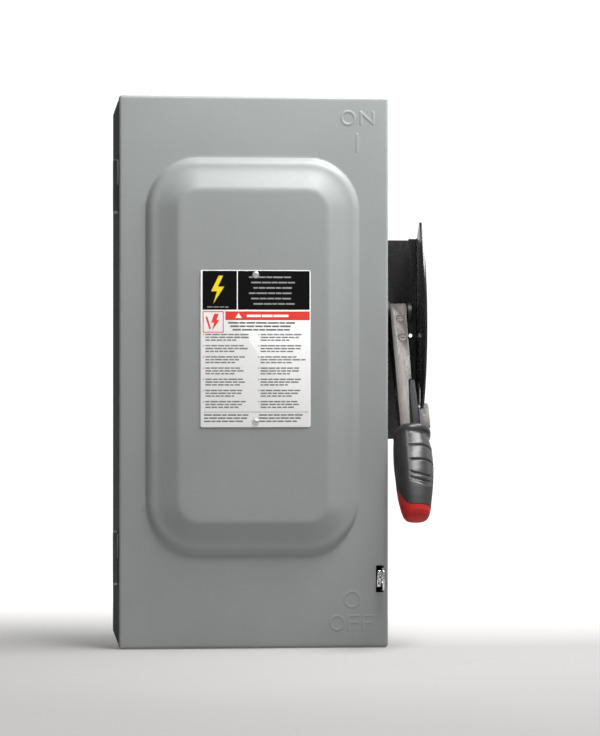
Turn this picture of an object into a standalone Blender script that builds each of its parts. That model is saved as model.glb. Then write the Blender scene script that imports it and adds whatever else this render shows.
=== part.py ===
"""Side-operated, three-pole, fusible safety switch in a wall-mounted sheet-steel box.

Metres, +Z up. The box's back lies on Y = 0 and its front faces -Y; X points to the handle side.
The origin is the middle of the back. The handle is down (OFF), the blades are open and the
cover is shut and latched.
"""
import math

import bmesh
import bpy
from mathutils import Matrix, Vector

for old in list(bpy.data.objects):
    bpy.data.objects.remove(old, do_unlink=True)

# ---- driving dimensions of the box and its cover
COVER_WIDTH = 0.2175
COVER_HEIGHT = 0.4445
COVER_FRONT = -0.150          # Y of the cover's flat rim
COVER_FLANGE = 0.012          # how far the rim is turned back over the box
SHEET = 0.0015
GAP = 0.0003                  # between neighbours that touch
BODY_HALF_WIDTH = 0.106
BODY_HALF_HEIGHT = 0.2195
BODY_FRONT = -0.148           # Y of the box's front edges
HINGE_WALL = 0.1090           # the hinge-side wall steps out behind the cover's flange
HINGE_STEP_Y = (-0.1305, -0.1270)
END_LIP = 0.012               # flanges of the two end walls
BACK_INSIDE = -SHEET
# pressed pads of the knockouts in both end walls: X, Y and radius
KNOCKOUTS = ((0.0, -0.0750, 0.0240), (-0.0620, -0.0600, 0.0160), (0.0620, -0.0600, 0.0160))
KNOCKOUT_RISE = 0.0004

# ---- raised panel drawn in the cover
PAN_CENTRE = (-0.0012, 0.0128)
PAN_HALF = (0.0890, 0.1637)
PAN_RADIUS = 0.045
PAN_RISE = 0.012
PAN_RAMP = 0.031              # width of the S-shaped slope
PAN_FOOT = 0.008              # concave part of the slope
PAN_BROW = 0.010              # convex part of the slope
PLATEAU_RADIUS = 0.016

# ---- label and its rivets, on the raised panel
LABEL_CENTRE = (0.0002, 0.0186)
LABEL_HALF = (0.0442, 0.0629)
LABEL_THICKNESS = 0.0005
RIVET_HEIGHTS = {"label_rivet_upper": 0.0778, "label_rivet_lower": -0.0404}
RIVET_HEAD = 0.0028
RIVET_SHANK = 0.0015

# ---- take-apart hinges on the left side
HINGE_X = -0.110
HINGE_Y = -0.1345
HINGE_HEIGHTS = {"upper": 0.150, "lower": -0.150}
KNUCKLE_RADIUS = 0.0032
KNUCKLE_LENGTH = 0.020
HINGE_PIN_RADIUS = 0.0020
LEAF = 0.0012
BOX_LEAF_REACH = 0.0225
COVER_LEAF_REACH = 0.0140

# ---- cover latch at the lower right
SLOT_X = (0.0988, 0.1050)
SLOT_Z = (-0.1780, -0.1563)
STAPLE_X = (0.1029, 0.1042)
STAPLE_Y = (-0.1625, -0.1180)
STAPLE_Z = (-0.1765, -0.1580)
PADLOCK_HOLE = (-0.1568, -0.1672)
PADLOCK_RADIUS = 0.0038
CATCH = (-0.1310, -0.1725)
CATCH_RADIUS = 0.0015
CATCH_X = (0.0985, 0.1035)
LATCH_X = (0.0994, 0.1010)
LATCH_PIVOT = (-0.1435, -0.1700)
LATCH_PIN_RADIUS = 0.0015
LATCH_BRACKET_X = (0.0960, 0.0975)

# ---- handle bracket on the right side
WEB_Y = (-0.0540, -0.0520)
WEB_Z = (-0.0560, 0.1100)
BRACKET_X = (0.1063, 0.1467)
BRACKET_SHEET = 0.0020
INNER_FLANGE_FRONT = -0.0920
INNER_FLANGE_Z = (-0.0320, 0.0900)
GUARD_ARC_CENTRE = (0.0140, 0.0390)
GUARD_ARC_RADIUS = 0.1207
GUARD_ARC_HALF_ANGLE = math.radians(45.8)
GUARD_FOOT_Z = -0.0500
LOCK_SLOT = (-0.0680, -0.0200)
LOCK_SLOT_HALF = (0.0080, 0.0120)
BRACKET_BOLTS = {"bracket_bolt_upper": 0.0800, "bracket_bolt_lower": -0.0220}
BRACKET_BOLT_Y = -0.0800
BOLT_RADIUS = 0.0030
BOLT_HEAD_RADIUS = 0.0060
BOLT_HEAD = 0.0034

# ---- handle, hanging from its shaft; it leans forward when OFF
PIVOT = Vector((0.0, -0.0720, 0.0500))
HANDLE_LEAN = math.radians(35.0)
SHAFT_RADIUS = 0.0060
SHAFT_X = (0.0850, 0.1385)
SHAFT_HEAD_X = 0.1338
SHAFT_HEAD_RADIUS = 0.0085
BUSHING_X = (0.1033, 0.1190)
BUSHING_RADIUS = 0.0092
ARM_LEFT = 0.1208
ARM_SHEET = 0.0020
ARM_FACE_Y = -0.0100
ARM_FLANGE_X = 0.1305
ARM_FLANGE_END = -0.0550
ARM_LEFT_END = -0.1180
TANG_END = -0.1500
LOCK_PLATE_Y = (-0.0050, -0.0030)
GRIP_CENTRE = 0.1276
GRIP_TOP = -0.1220
# (distance below the shaft, centre X, half width, half depth) of the grip's sections
GRIP_SECTIONS = (
    (0.1220, 0.1284, 0.0146, 0.0150), (0.1240, 0.1284, 0.0151, 0.0156), (0.1340, 0.1280, 0.0148, 0.0155),
    (0.1480, 0.1274, 0.0142, 0.0150), (0.1600, 0.1276, 0.0149, 0.0154), (0.1700, 0.1276, 0.0152, 0.0155),
    (0.1800, 0.1272, 0.0146, 0.0146), (0.1900, 0.1268, 0.0128, 0.0124), (0.1965, 0.1264, 0.0108, 0.0098))
CAP_SECTIONS = (
    (0.1968, 0.1264, 0.0107, 0.0097), (0.1995, 0.1262, 0.0098, 0.0085), (0.2015, 0.1261, 0.0086, 0.0070),
    (0.2025, 0.1260, 0.0068, 0.0052))
GRIP_SQUARENESS = 2.4         # exponent of the sections' superellipse
GRIP_SIDES = 24

# ---- crank and torsion spring on the shaft's inner end
CRANK_X = (0.0885, 0.0925)
CRANK_REACH = 0.0300
CRANK_RADIUS = (0.0110, 0.0070)
SPRING_X = (0.0946, 0.1012)
SPRING_RADIUS = 0.0088
SPRING_WIRE = 0.0009
SPRING_TURNS = 3

# ---- three poles
POLES = (-0.068, -0.018, 0.032)
BASE_FRONT = -0.0200
BASE_X = (-0.098, 0.062)
SWITCH_BASE_Z = (0.0120, 0.1920)
FUSE_BASE_Z = (-0.1900, 0.0080)
RIB_OFFSET = 0.025
RIB_FRONT = -0.0300
RIB_HALF = 0.0015
STRAP = 0.0025
STRAP_HALF = 0.0090
BLADE_AXIS = Vector((0.0, -0.0400, 0.0400))
BLADE_OPEN = math.radians(60.0)
BLADE_HALF = 0.0015
BLADE_HALF_WIDTH = 0.0090
BLADE_LENGTH = 0.0800
BLADE_PIN_RADIUS = 0.0020
CHEEK = 0.0020
CHEEK_FRONT = -0.0500
JAW_Z = (0.1000, 0.1180)
JAW_STRAP_TOP = 0.1780
HINGE_CLIP_Z = (0.0300, 0.0520)
HINGE_STRAP_BOTTOM = -0.0400
CHUTE_HALF = 0.0170
CHUTE_WALL = 0.0055
CHUTE_Z = (0.0880, 0.1420)
CHUTE_FRONT = -0.0660
LUG_HALF = 0.0095
LUG_DEPTH = 0.0200
LUG_HOLE = 0.0060
LINE_LUG_Z = (0.1520, 0.1770)
LOAD_LUG_Z = (-0.1880, -0.1640)
FUSE_CLIP_HALF = 0.0153
FUSE_CLIP_FRONT = -0.0520
UPPER_CLIP_Z = (-0.0380, -0.0230)
LOWER_CLIP_Z = (-0.1530, -0.1380)
LOWER_STRAP_BOTTOM = -0.1895

# ---- crossbar that ties the blades together, and what carries its driven end
CROSSBAR_X = (-0.0920, 0.0532)
CROSSBAR_Y = (-0.0233, -0.0093)
CROSSBAR_Z = (0.0300, 0.0440)
ROTOR_ARM_X = (0.0535, 0.0565)
ROTOR_ARM_RADIUS = (0.0095, 0.0110)
ROTOR_PIN_X = (0.0505, 0.0700)
ROTOR_PIN_RADIUS = 0.0040
PLATE_X = (0.0640, 0.0660)
PLATE_FOOT_X = 0.0780
PLATE_FRONT = -0.1000
PLATE_Z = (-0.0200, 0.1000)
GROUND_BAR = ((0.0700, -0.0140, -0.1900), (0.0840, -0.0018, -0.1300))

# ---- keyholes in the back: where they are, and their two radii
KEYHOLES = ((0.0, 0.1975), (-0.0800, -0.2020), (0.0800, -0.2020))
KEYHOLE_RADIUS = 0.0048
KEYHOLE_NECK = 0.0028
KEYHOLE_REACH = 0.0060

ROUND = 24                    # sides of a round piece
SMALL_ROUND = 16              # sides of a small one
CORNER_STEPS = 4
COVER_CORNER_STEPS = 6
SHARP_ANGLE = math.radians(35.0)
PAST = 0.002                  # how far a cutter runs past the faces it cuts

MATERIALS = {
    "grey_enamel": ((0.30, 0.32, 0.31), 0.45, 0.0),
    "black_enamel": ((0.02, 0.02, 0.02), 0.40, 0.0),
    "zinc_steel": ((0.55, 0.54, 0.52), 0.42, 1.0),
    "chrome_steel": ((0.75, 0.75, 0.75), 0.15, 1.0),
    "label_print": ((0.85, 0.85, 0.85), 0.50, 0.0),
    "grip_black": ((0.025, 0.025, 0.025), 0.50, 0.0),
    "grip_red": ((0.42, 0.05, 0.04), 0.40, 0.0),
    "phenolic": ((0.05, 0.04, 0.04), 0.50, 0.0),
    "arc_grey": ((0.35, 0.34, 0.32), 0.60, 0.0),
    "tinned_copper": ((0.70, 0.62, 0.52), 0.35, 1.0),
    "lug_aluminium": ((0.70, 0.70, 0.71), 0.40, 1.0),
}


def make_material(name):
    colour, roughness, metallic = MATERIALS[name]
    material = bpy.data.materials.new(name)
    material.use_nodes = True
    shader = material.node_tree.nodes["Principled BSDF"]
    shader.inputs["Base Color"].default_value = (*colour, 1.0)
    shader.inputs["Roughness"].default_value = roughness
    shader.inputs["Metallic"].default_value = metallic
    return material


PAINTS = {name: make_material(name) for name in MATERIALS}


# ---- building blocks ------------------------------------------------------------------------

def place_on(axis, u, v, along):
    """A point from two outline coordinates and a distance along an axis."""
    return {"X": (along, u, v), "Y": (u, along, v), "Z": (u, v, along)}[axis]


def link(name, bm, parent=None):
    """Make an object of a bmesh whose coordinates are the world's, or those of a turned parent."""
    bmesh.ops.recalc_face_normals(bm, faces=bm.faces)
    mesh = bpy.data.meshes.new(name)
    bm.to_mesh(mesh)
    bm.free()
    piece = bpy.data.objects.new(name, mesh)
    bpy.context.collection.objects.link(piece)
    if parent:
        piece.parent = parent
        if not any(parent.rotation_euler):
            piece.location = -parent.location
    return piece


def solid(name, bm, material, parent=None, smooth=False):
    piece = link(name, bm, parent)
    piece.data.materials.append(PAINTS[material])
    if smooth:
        piece.data.shade_smooth()
        piece.data.set_sharp_from_angle(angle=SHARP_ANGLE)
    return piece


def combine(piece, bm, operation):
    """Cut a tool shape from a piece, or join it on, with the tool left as a wire guide."""
    tool = link(f"{piece.name}_tool_{len(piece.modifiers)}", bm, piece.parent)
    tool.hide_render = True
    tool.display_type = "WIRE"
    step = piece.modifiers.new(operation.lower(), "BOOLEAN")
    step.operation = operation
    step.solver = "EXACT"
    step.object = tool


def cut(piece, bm):
    combine(piece, bm, "DIFFERENCE")


def join(piece, bm):
    combine(piece, bm, "UNION")


def block(low, high):
    bm = bmesh.new()
    size = Vector(high) - Vector(low)
    middle = (Vector(high) + Vector(low)) / 2
    place = Matrix.Translation(middle) @ Matrix.Diagonal((*size, 1.0))
    bmesh.ops.create_cube(bm, size=1.0, matrix=place)
    return bm


def prism(outline, axis, low, high):
    """A closed outline extruded along an axis from low to high."""
    bm = bmesh.new()
    face = bm.faces.new([bm.verts.new(place_on(axis, u, v, low)) for u, v in outline])
    grown = bmesh.ops.extrude_face_region(bm, geom=[face])["geom"]
    ends = [item for item in grown if isinstance(item, bmesh.types.BMVert)]
    bmesh.ops.translate(bm, verts=ends, vec=place_on(axis, 0.0, 0.0, high - low))
    return bm


def loft(rings):
    """Skin from ring to ring, closed by a face at each end."""
    bm = bmesh.new()
    rows = [[bm.verts.new(point) for point in ring] for ring in rings]
    bm.faces.new(reversed(rows[0]))
    bm.faces.new(rows[-1])
    for lower, upper in zip(rows, rows[1:]):
        for i in range(len(lower)):
            after = (i + 1) % len(lower)
            bm.faces.new((lower[i], lower[after], upper[after], upper[i]))
    return bm


def circle(u, v, radius, sides):
    return [(u + radius * math.cos(math.tau * i / sides), v + radius * math.sin(math.tau * i / sides))
            for i in range(sides)]


def rod(axis, u, v, radius, low, high, sides=ROUND):
    return prism(circle(u, v, radius, sides), axis, low, high)


def turned(axis, u, v, profile, sides=ROUND):
    """A stepped round piece: (distance along the axis, radius) pairs."""
    return loft([[place_on(axis, a, b, along) for a, b in circle(u, v, radius, sides)]
                 for along, radius in profile])


def rounded(corners, steps=CORNER_STEPS):
    """Outline through (u, v, radius) corners, each rounded by an arc of that radius."""
    outline = []
    for i, (u, v, radius) in enumerate(corners):
        corner = Vector((u, v))
        if not radius:
            outline.append(tuple(corner))
            continue
        back = (Vector(corners[i - 1][:2]) - corner).normalized()
        ahead = (Vector(corners[(i + 1) % len(corners)][:2]) - corner).normalized()
        half = back.angle(ahead) / 2
        centre = corner + (back + ahead).normalized() * radius / math.sin(half)
        start = corner + back * radius / math.tan(half) - centre
        end = corner + ahead * radius / math.tan(half) - centre
        turn = math.atan2(start.cross(end), start.dot(end))
        for step in range(steps + 1):
            outline.append(tuple(centre + Matrix.Rotation(turn * step / steps, 2) @ start))
    return outline


def rounded_box(centre, half, radius, steps=CORNER_STEPS):
    (u, v), (a, b) = centre, half
    return rounded([(u - a, v - b, radius), (u + a, v - b, radius), (u + a, v + b, radius),
                    (u - a, v + b, radius)], steps)


def capsule(start, end, start_radius, end_radius, steps=12):
    """Outline of a lever: a half circle at each end."""
    heading = math.atan2(end[1] - start[1], end[0] - start[0])
    outline = []
    for (u, v), radius, first in ((start, start_radius, heading + math.pi / 2),
                                  (end, end_radius, heading - math.pi / 2)):
        for step in range(steps + 1):
            angle = first + math.pi * step / steps
            outline.append((u + radius * math.cos(angle), v + radius * math.sin(angle)))
    return outline


def axis_empty(name, location, lean=0.0):
    """An empty on a joint's axis, turned about X to the angle its pieces rest at."""
    empty = bpy.data.objects.new(name, None)
    empty.location = location
    empty.rotation_euler = (lean, 0.0, 0.0)
    bpy.context.collection.objects.link(empty)
    return empty


# ---- box ------------------------------------------------------------------------------------

def build_wrapper():
    """Back and both sides, folded from one sheet."""
    outer, inner, bend = BODY_HALF_WIDTH, BODY_HALF_WIDTH - SHEET, SHEET
    step_front, step_back = HINGE_STEP_Y
    step = math.atan2(HINGE_WALL - outer, step_back - step_front)
    shift = SHEET * math.tan(step / 2)
    profile = rounded([(-outer, BODY_FRONT, 0), (-outer, step_front, 0), (-HINGE_WALL, step_back, 0),
                       (-HINGE_WALL, 0.0, bend), (outer, 0.0, bend), (outer, BODY_FRONT, 0),
                       (inner, BODY_FRONT, 0), (inner, BACK_INSIDE, 0), (SHEET - HINGE_WALL, BACK_INSIDE, 0),
                       (SHEET - HINGE_WALL, step_back + shift, 0), (-inner, step_front + shift, 0),
                       (-inner, BODY_FRONT, 0)])
    folded = prism(profile, "Z", -BODY_HALF_HEIGHT, BODY_HALF_HEIGHT)
    wrapper = solid("enclosure_wrapper", folded, "grey_enamel")
    for x, z in KEYHOLES:
        cut(wrapper, rod("Y", x, z, KEYHOLE_RADIUS, BACK_INSIDE - PAST, PAST, SMALL_ROUND))
        neck = capsule((x, z), (x, z + KEYHOLE_REACH), KEYHOLE_NECK, KEYHOLE_NECK)
        cut(wrapper, prism(neck, "Y", BACK_INSIDE - PAST, PAST))
    side = (inner - PAST, outer + PAST)
    cut(wrapper, rod("X", PIVOT.y, PIVOT.z, BUSHING_RADIUS + GAP, *side))
    for z in BRACKET_BOLTS.values():
        cut(wrapper, rod("X", BRACKET_BOLT_Y, z, BOLT_RADIUS + GAP, *side, SMALL_ROUND))


def build_end_wall(name, side):
    """Top or bottom wall: a channel with its flanges turned into the box, and pads for knockouts."""
    top, under = BODY_HALF_HEIGHT * side, (BODY_HALF_HEIGHT - SHEET) * side
    lip = (BODY_HALF_HEIGHT - END_LIP) * side
    back = BACK_INSIDE - GAP
    profile = [(back, top), (BODY_FRONT, top), (BODY_FRONT, lip), (BODY_FRONT + SHEET, lip),
               (BODY_FRONT + SHEET, under), (back - SHEET, under), (back - SHEET, lip), (back, lip)]
    reach, wide = BODY_HALF_WIDTH - SHEET - GAP, HINGE_WALL - SHEET - GAP
    wall = solid(name, prism(profile, "X", -wide, reach), "grey_enamel")
    ends = sorted((top + PAST * side, lip - PAST * side))
    cut(wall, block((-wide - PAST, BODY_FRONT - PAST, ends[0]), (-reach, HINGE_STEP_Y[1] + SHEET, ends[1])))
    for x, y, radius in KNOCKOUTS:
        join(wall, rod("Z", x, y, radius, *sorted((top + KNOCKOUT_RISE * side, under + SHEET * side / 2))))


# ---- cover ----------------------------------------------------------------------------------

def pan_height(inset):
    """Rise of the drawn panel's S-shaped slope at a distance in from its outline."""
    slope = PAN_RISE / (PAN_RAMP - (PAN_FOOT + PAN_BROW) / 2)
    if inset < PAN_FOOT:
        return slope * inset ** 2 / (2 * PAN_FOOT)
    if inset < PAN_RAMP - PAN_BROW:
        return slope * (inset - PAN_FOOT / 2)
    return PAN_RISE - slope * (PAN_RAMP - inset) ** 2 / (2 * PAN_BROW)


def cover_ring(centre, half, radius, y):
    return [(x, y, z) for x, z in rounded_box(centre, half, radius, COVER_CORNER_STEPS)]


def cover_rings(depth):
    """Rings of one face of the cover, from the flange's edge in to the plateau; depth is below the skin."""
    half = (COVER_WIDTH / 2 - depth, COVER_HEIGHT / 2 - depth)
    bend = SHEET - depth / 2
    rim_edge = COVER_FRONT + COVER_FLANGE
    rings = [cover_ring((0.0, 0.0), half, bend, rim_edge),
             cover_ring((0.0, 0.0), half, bend, COVER_FRONT + depth + bend / 2),
             cover_ring((0.0, 0.0), (half[0] - bend / 2, half[1] - bend / 2), bend, COVER_FRONT + depth)]
    for inset in (0.0, PAN_FOOT / 2, PAN_FOOT, PAN_RAMP - PAN_BROW, PAN_RAMP - PAN_BROW / 2, PAN_RAMP):
        radius = PAN_RADIUS + (PLATEAU_RADIUS - PAN_RADIUS) * inset / PAN_RAMP
        pan_half = (PAN_HALF[0] - inset, PAN_HALF[1] - inset)
        rings.append(cover_ring(PAN_CENTRE, pan_half, radius, COVER_FRONT + depth - pan_height(inset)))
    return rings


def build_cover(hinge):
    """Formed sheet with its edges turned back, a latch slot and two rivet holes."""
    skins = cover_rings(SHEET)[::-1] + cover_rings(0.0)
    cover = solid("front_cover", loft(skins), "grey_enamel", hinge, True)
    front, behind = COVER_FRONT - PAST, COVER_FRONT + SHEET + PAST
    cut(cover, block((SLOT_X[0], front, SLOT_Z[0]), (SLOT_X[1], behind, SLOT_Z[1])))
    plateau = COVER_FRONT - PAN_RISE
    depth = (plateau - PAST, plateau + SHEET + PAST)
    for z in RIVET_HEIGHTS.values():
        cut(cover, rod("Y", LABEL_CENTRE[0], z, RIVET_SHANK + GAP, *depth, SMALL_ROUND))


def build_label(hinge):
    """Thin plate on the raised panel, held by two blind rivets."""
    back = COVER_FRONT - PAN_RISE - GAP
    front = back - LABEL_THICKNESS
    (x, z), (a, b) = LABEL_CENTRE, LABEL_HALF
    label = solid("front_label", block((x - a, front, z - b), (x + a, back, z + b)), "label_print", hinge)
    for name, height in RIVET_HEIGHTS.items():
        cut(label, rod("Y", x, height, RIVET_SHANK + GAP, front - PAST, back + PAST, SMALL_ROUND))
        seat = front - GAP
        tail = COVER_FRONT - PAN_RISE + SHEET + GAP
        profile = ((seat - 0.0012, RIVET_HEAD * 0.55), (seat - 0.0009, RIVET_HEAD * 0.85), (seat, RIVET_HEAD),
                   (seat, RIVET_SHANK), (tail, RIVET_SHANK), (tail, RIVET_SHANK * 1.5),
                   (tail + 0.0015, RIVET_SHANK * 1.2))
        solid(name, turned("Y", x, height, profile, SMALL_ROUND), "lug_aluminium", hinge, True)


# ---- hinges ---------------------------------------------------------------------------------

def build_leaf(name, x, y, low, parent=None):
    """A hinge leaf: flat plate with a knuckle; x and y give the plate's extent."""
    high = low + KNUCKLE_LENGTH
    leaf = solid(name, rod("Z", HINGE_X, HINGE_Y, KNUCKLE_RADIUS, low, high), "grey_enamel", parent, True)
    join(leaf, block((x[0], y[0], low), (x[1], y[1], high)))
    cut(leaf, rod("Z", HINGE_X, HINGE_Y, HINGE_PIN_RADIUS + GAP, low - PAST, high + PAST, SMALL_ROUND))


def build_hinges(hinge):
    """Two lift-off hinges: leaf on the box below, leaf on the cover above, pin through both."""
    box_x = (-HINGE_WALL - GAP - LEAF, -HINGE_WALL - GAP)
    cover_x = (-COVER_WIDTH / 2 - GAP - LEAF, -COVER_WIDTH / 2 - GAP)
    for place, z in HINGE_HEIGHTS.items():
        build_leaf(f"box_hinge_leaf_{place}", box_x, (HINGE_Y, HINGE_Y + BOX_LEAF_REACH), z - KNUCKLE_LENGTH)
        cover_y = (HINGE_Y - COVER_LEAF_REACH, HINGE_Y)
        build_leaf(f"cover_hinge_leaf_{place}", cover_x, cover_y, z + GAP, hinge)
        ends = (z - KNUCKLE_LENGTH - PAST, z + KNUCKLE_LENGTH + PAST)
        pin = rod("Z", HINGE_X, HINGE_Y, HINGE_PIN_RADIUS, *ends, SMALL_ROUND)
        solid(f"hinge_pin_{place}", pin, "zinc_steel", smooth=True)


# ---- latch ----------------------------------------------------------------------------------

def build_staple():
    """Plate on the box's right side that comes through the cover, with a padlock hole and a catch."""
    (y0, y1), (z0, z1) = STAPLE_Y, STAPLE_Z
    nose = 0.005
    outline = rounded([(y0, z0, nose), (y1, z0, 0), (y1, z1, 0), (y0, z1, nose)])
    staple = solid("latch_staple", prism(outline, "X", *STAPLE_X), "chrome_steel")
    join(staple, rod("X", *CATCH, CATCH_RADIUS, *CATCH_X, SMALL_ROUND))
    cut(staple, rod("X", *PADLOCK_HOLE, PADLOCK_RADIUS, STAPLE_X[0] - PAST, STAPLE_X[1] + PAST))


def latch_outline():
    """Side view of the latch: thumb tab in front, hook over the catch behind."""
    y, z = LATCH_PIVOT
    catch_y, catch_z = CATCH
    over = catch_z + CATCH_RADIUS + GAP
    behind = catch_y + CATCH_RADIUS + 0.0007
    return rounded([(y - 0.0155, z + 0.0085, 0.0008), (y - 0.0145, z + 0.0105, 0.0008),
                    (y - 0.0020, z + 0.0035, 0.002), (behind + 0.0028, z + 0.0028, 0.001),
                    (behind + 0.0028, catch_z - 0.0030, 0.0008),
                    (behind, catch_z - 0.0030, 0.0008), (behind, over, 0), (y + 0.0045, over, 0.001),
                    (y + 0.0010, z - 0.0035, 0.0015), (y - 0.0035, z - 0.0030, 0.0015)], 3)


def build_latch(hinge, pivot):
    """Sprung hook, its pin and the bracket behind the cover that holds the pin."""
    bore = LATCH_PIN_RADIUS + GAP
    latch = solid("cover_latch", prism(latch_outline(), "X", *LATCH_X), "chrome_steel", pivot)
    cut(latch, rod("X", *LATCH_PIVOT, bore, LATCH_X[0] - PAST, LATCH_X[1] + PAST, SMALL_ROUND))
    inside = COVER_FRONT + SHEET + GAP
    low, high = SLOT_Z[0] - 0.001, SLOT_Z[1] - 0.002
    left, right = LATCH_BRACKET_X
    ear = block((left, inside, low), (right, inside + 0.012, high))
    bracket = solid("latch_bracket", ear, "zinc_steel", hinge)
    join(bracket, block((left - 0.010, inside, low), (right, inside + SHEET, high)))
    cut(bracket, rod("X", *LATCH_PIVOT, bore, left - PAST, right + PAST / 2, SMALL_ROUND))
    pin = rod("X", *LATCH_PIVOT, LATCH_PIN_RADIUS, left - 0.0012, LATCH_X[1] + 0.0010, SMALL_ROUND)
    solid("latch_pin", pin, "zinc_steel", hinge, True)


# ---- handle bracket -------------------------------------------------------------------------

def guard_outline():
    """The outer plate seen from the side: a bowed front edge between two tips."""
    (y, z), half = GUARD_ARC_CENTRE, GUARD_ARC_HALF_ANGLE
    steps = 14
    bow = [(y - GUARD_ARC_RADIUS * math.cos(angle), z + GUARD_ARC_RADIUS * math.sin(angle))
           for angle in (half - 2 * half * step / steps for step in range(steps + 1))]
    return [(WEB_Y[1], WEB_Z[1])] + bow + [(WEB_Y[1], GUARD_FOOT_Z)]


def build_bracket():
    """Channel around the handle's path: flange on the box, web behind, guard plate outside."""
    inside, outside = BRACKET_X
    web = block((inside, WEB_Y[0], WEB_Z[0]), (outside, WEB_Y[1], WEB_Z[1]))
    bracket = solid("handle_bracket", web, "black_enamel")
    join(bracket, block((inside, INNER_FLANGE_FRONT, INNER_FLANGE_Z[0]),
                        (inside + BRACKET_SHEET, WEB_Y[1], INNER_FLANGE_Z[1])))
    join(bracket, prism(guard_outline(), "X", outside - BRACKET_SHEET, outside))
    cut(bracket, prism(rounded_box(LOCK_SLOT, LOCK_SLOT_HALF, LOCK_SLOT_HALF[0] * 0.95), "X",
                       outside - BRACKET_SHEET - PAST, outside + PAST))
    side = (inside - PAST, inside + BRACKET_SHEET + PAST)
    cut(bracket, rod("X", PIVOT.y, PIVOT.z, BUSHING_RADIUS + GAP, *side))
    for name, z in BRACKET_BOLTS.items():
        cut(bracket, rod("X", BRACKET_BOLT_Y, z, BOLT_RADIUS + GAP, *side, SMALL_ROUND))
        seat = inside + BRACKET_SHEET + GAP
        ends = (BODY_HALF_WIDTH - 0.008, seat + BOLT_HEAD / 2)
        shank = rod("X", BRACKET_BOLT_Y, z, BOLT_RADIUS, *ends, SMALL_ROUND)
        bolt = solid(name, shank, "zinc_steel", smooth=True)
        join(bolt, rod("X", BRACKET_BOLT_Y, z, BOLT_HEAD_RADIUS, seat, seat + BOLT_HEAD, 6))


# ---- handle ---------------------------------------------------------------------------------

def build_shaft(handle):
    """Shaft with a riveted head outside the arm, and the bushing that carries it in the wall."""
    profile = ((SHAFT_X[0], SHAFT_RADIUS), (SHAFT_HEAD_X, SHAFT_RADIUS), (SHAFT_HEAD_X, SHAFT_HEAD_RADIUS),
               (SHAFT_X[1] - 0.001, SHAFT_HEAD_RADIUS), (SHAFT_X[1], SHAFT_HEAD_RADIUS - 0.0015))
    solid("operating_shaft", turned("X", 0.0, 0.0, profile), "zinc_steel", handle, True)
    bushing = solid("shaft_bushing", rod("X", PIVOT.y, PIVOT.z, BUSHING_RADIUS, *BUSHING_X), "grip_black", smooth=True)
    cut(bushing, rod("X", PIVOT.y, PIVOT.z, SHAFT_RADIUS + GAP, BUSHING_X[0] - PAST, BUSHING_X[1] + PAST))


def arm_side(end):
    """Side view of an arm flange, round at the shaft and tapering to its end."""
    return rounded([(ARM_FACE_Y, 0.0120, 0.010), (0.0110, 0.0120, 0.010), (0.0110, -0.0280, 0.012),
                    (0.0040, end, 0.002), (ARM_FACE_Y, end, 0)])


def build_arm(handle):
    """Folded arm: narrow front strip that runs on as a tang, and a flange along each side."""
    face = [(ARM_LEFT, 0.0020), (0.1330, 0.0020), (0.1325, -0.0560), (0.1315, -0.0680), (0.1277, -0.1040),
            (0.1277, TANG_END), (ARM_LEFT, TANG_END)]
    arm = solid("handle_arm", prism(face, "Y", ARM_FACE_Y, ARM_FACE_Y + ARM_SHEET), "zinc_steel", handle)
    join(arm, prism(arm_side(ARM_LEFT_END), "X", ARM_LEFT, ARM_LEFT + ARM_SHEET))
    join(arm, prism(arm_side(ARM_FLANGE_END), "X", ARM_FLANGE_X, ARM_FLANGE_X + ARM_SHEET))
    cut(arm, rod("X", 0.0, 0.0, SHAFT_RADIUS + GAP, ARM_LEFT - PAST, ARM_FLANGE_X + ARM_SHEET + PAST))


def build_lock_plate(slide):
    """Sliding plate beside the arm; its notched tab takes the padlocks."""
    outline = [(0.1240, -0.0760), (0.1348, -0.0760), (0.1348, -0.1000), (0.1378, -0.1000), (0.1378, -0.1090),
               (0.1406, -0.1090), (0.1406, -0.1000), (0.1440, -0.1000), (0.1440, -0.1190), (0.1240, -0.1190)]
    solid("lock_plate", prism(outline[::-1], "Y", *LOCK_PLATE_Y), "zinc_steel", slide)


def grip_ring(below, centre, half_width, half_depth):
    """One section of the grip: a superellipse."""
    power = 2.0 / GRIP_SQUARENESS
    ring = []
    for i in range(GRIP_SIDES):
        c, s = math.cos(math.tau * i / GRIP_SIDES), math.sin(math.tau * i / GRIP_SIDES)
        ring.append((centre + half_width * math.copysign(abs(c) ** power, c),
                     half_depth * math.copysign(abs(s) ** power, s), -below))
    return ring


def build_grip(handle):
    """Moulded grip with a pocket for the arm's tang, and the red piece on its end."""
    grip = solid("handle_grip", loft([grip_ring(*section) for section in GRIP_SECTIONS]), "grip_black", handle, True)
    low = (ARM_LEFT - GAP, ARM_FACE_Y - GAP, TANG_END - GAP)
    cut(grip, block(low, (0.1277 + GAP, ARM_FACE_Y + ARM_SHEET + GAP, GRIP_TOP + PAST)))
    solid("grip_end_cap", loft([grip_ring(*section) for section in CAP_SECTIONS]), "grip_red", handle, True)


def build_crank(handle):
    """Crank on the shaft's inner end."""
    outline = capsule((0.0, 0.0), (0.0, CRANK_REACH), *CRANK_RADIUS)
    crank = solid("drive_crank", prism(outline, "X", *CRANK_X), "zinc_steel", handle)
    cut(crank, rod("X", 0.0, 0.0, SHAFT_RADIUS + GAP, CRANK_X[0] - PAST, CRANK_X[1] + PAST))


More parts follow.
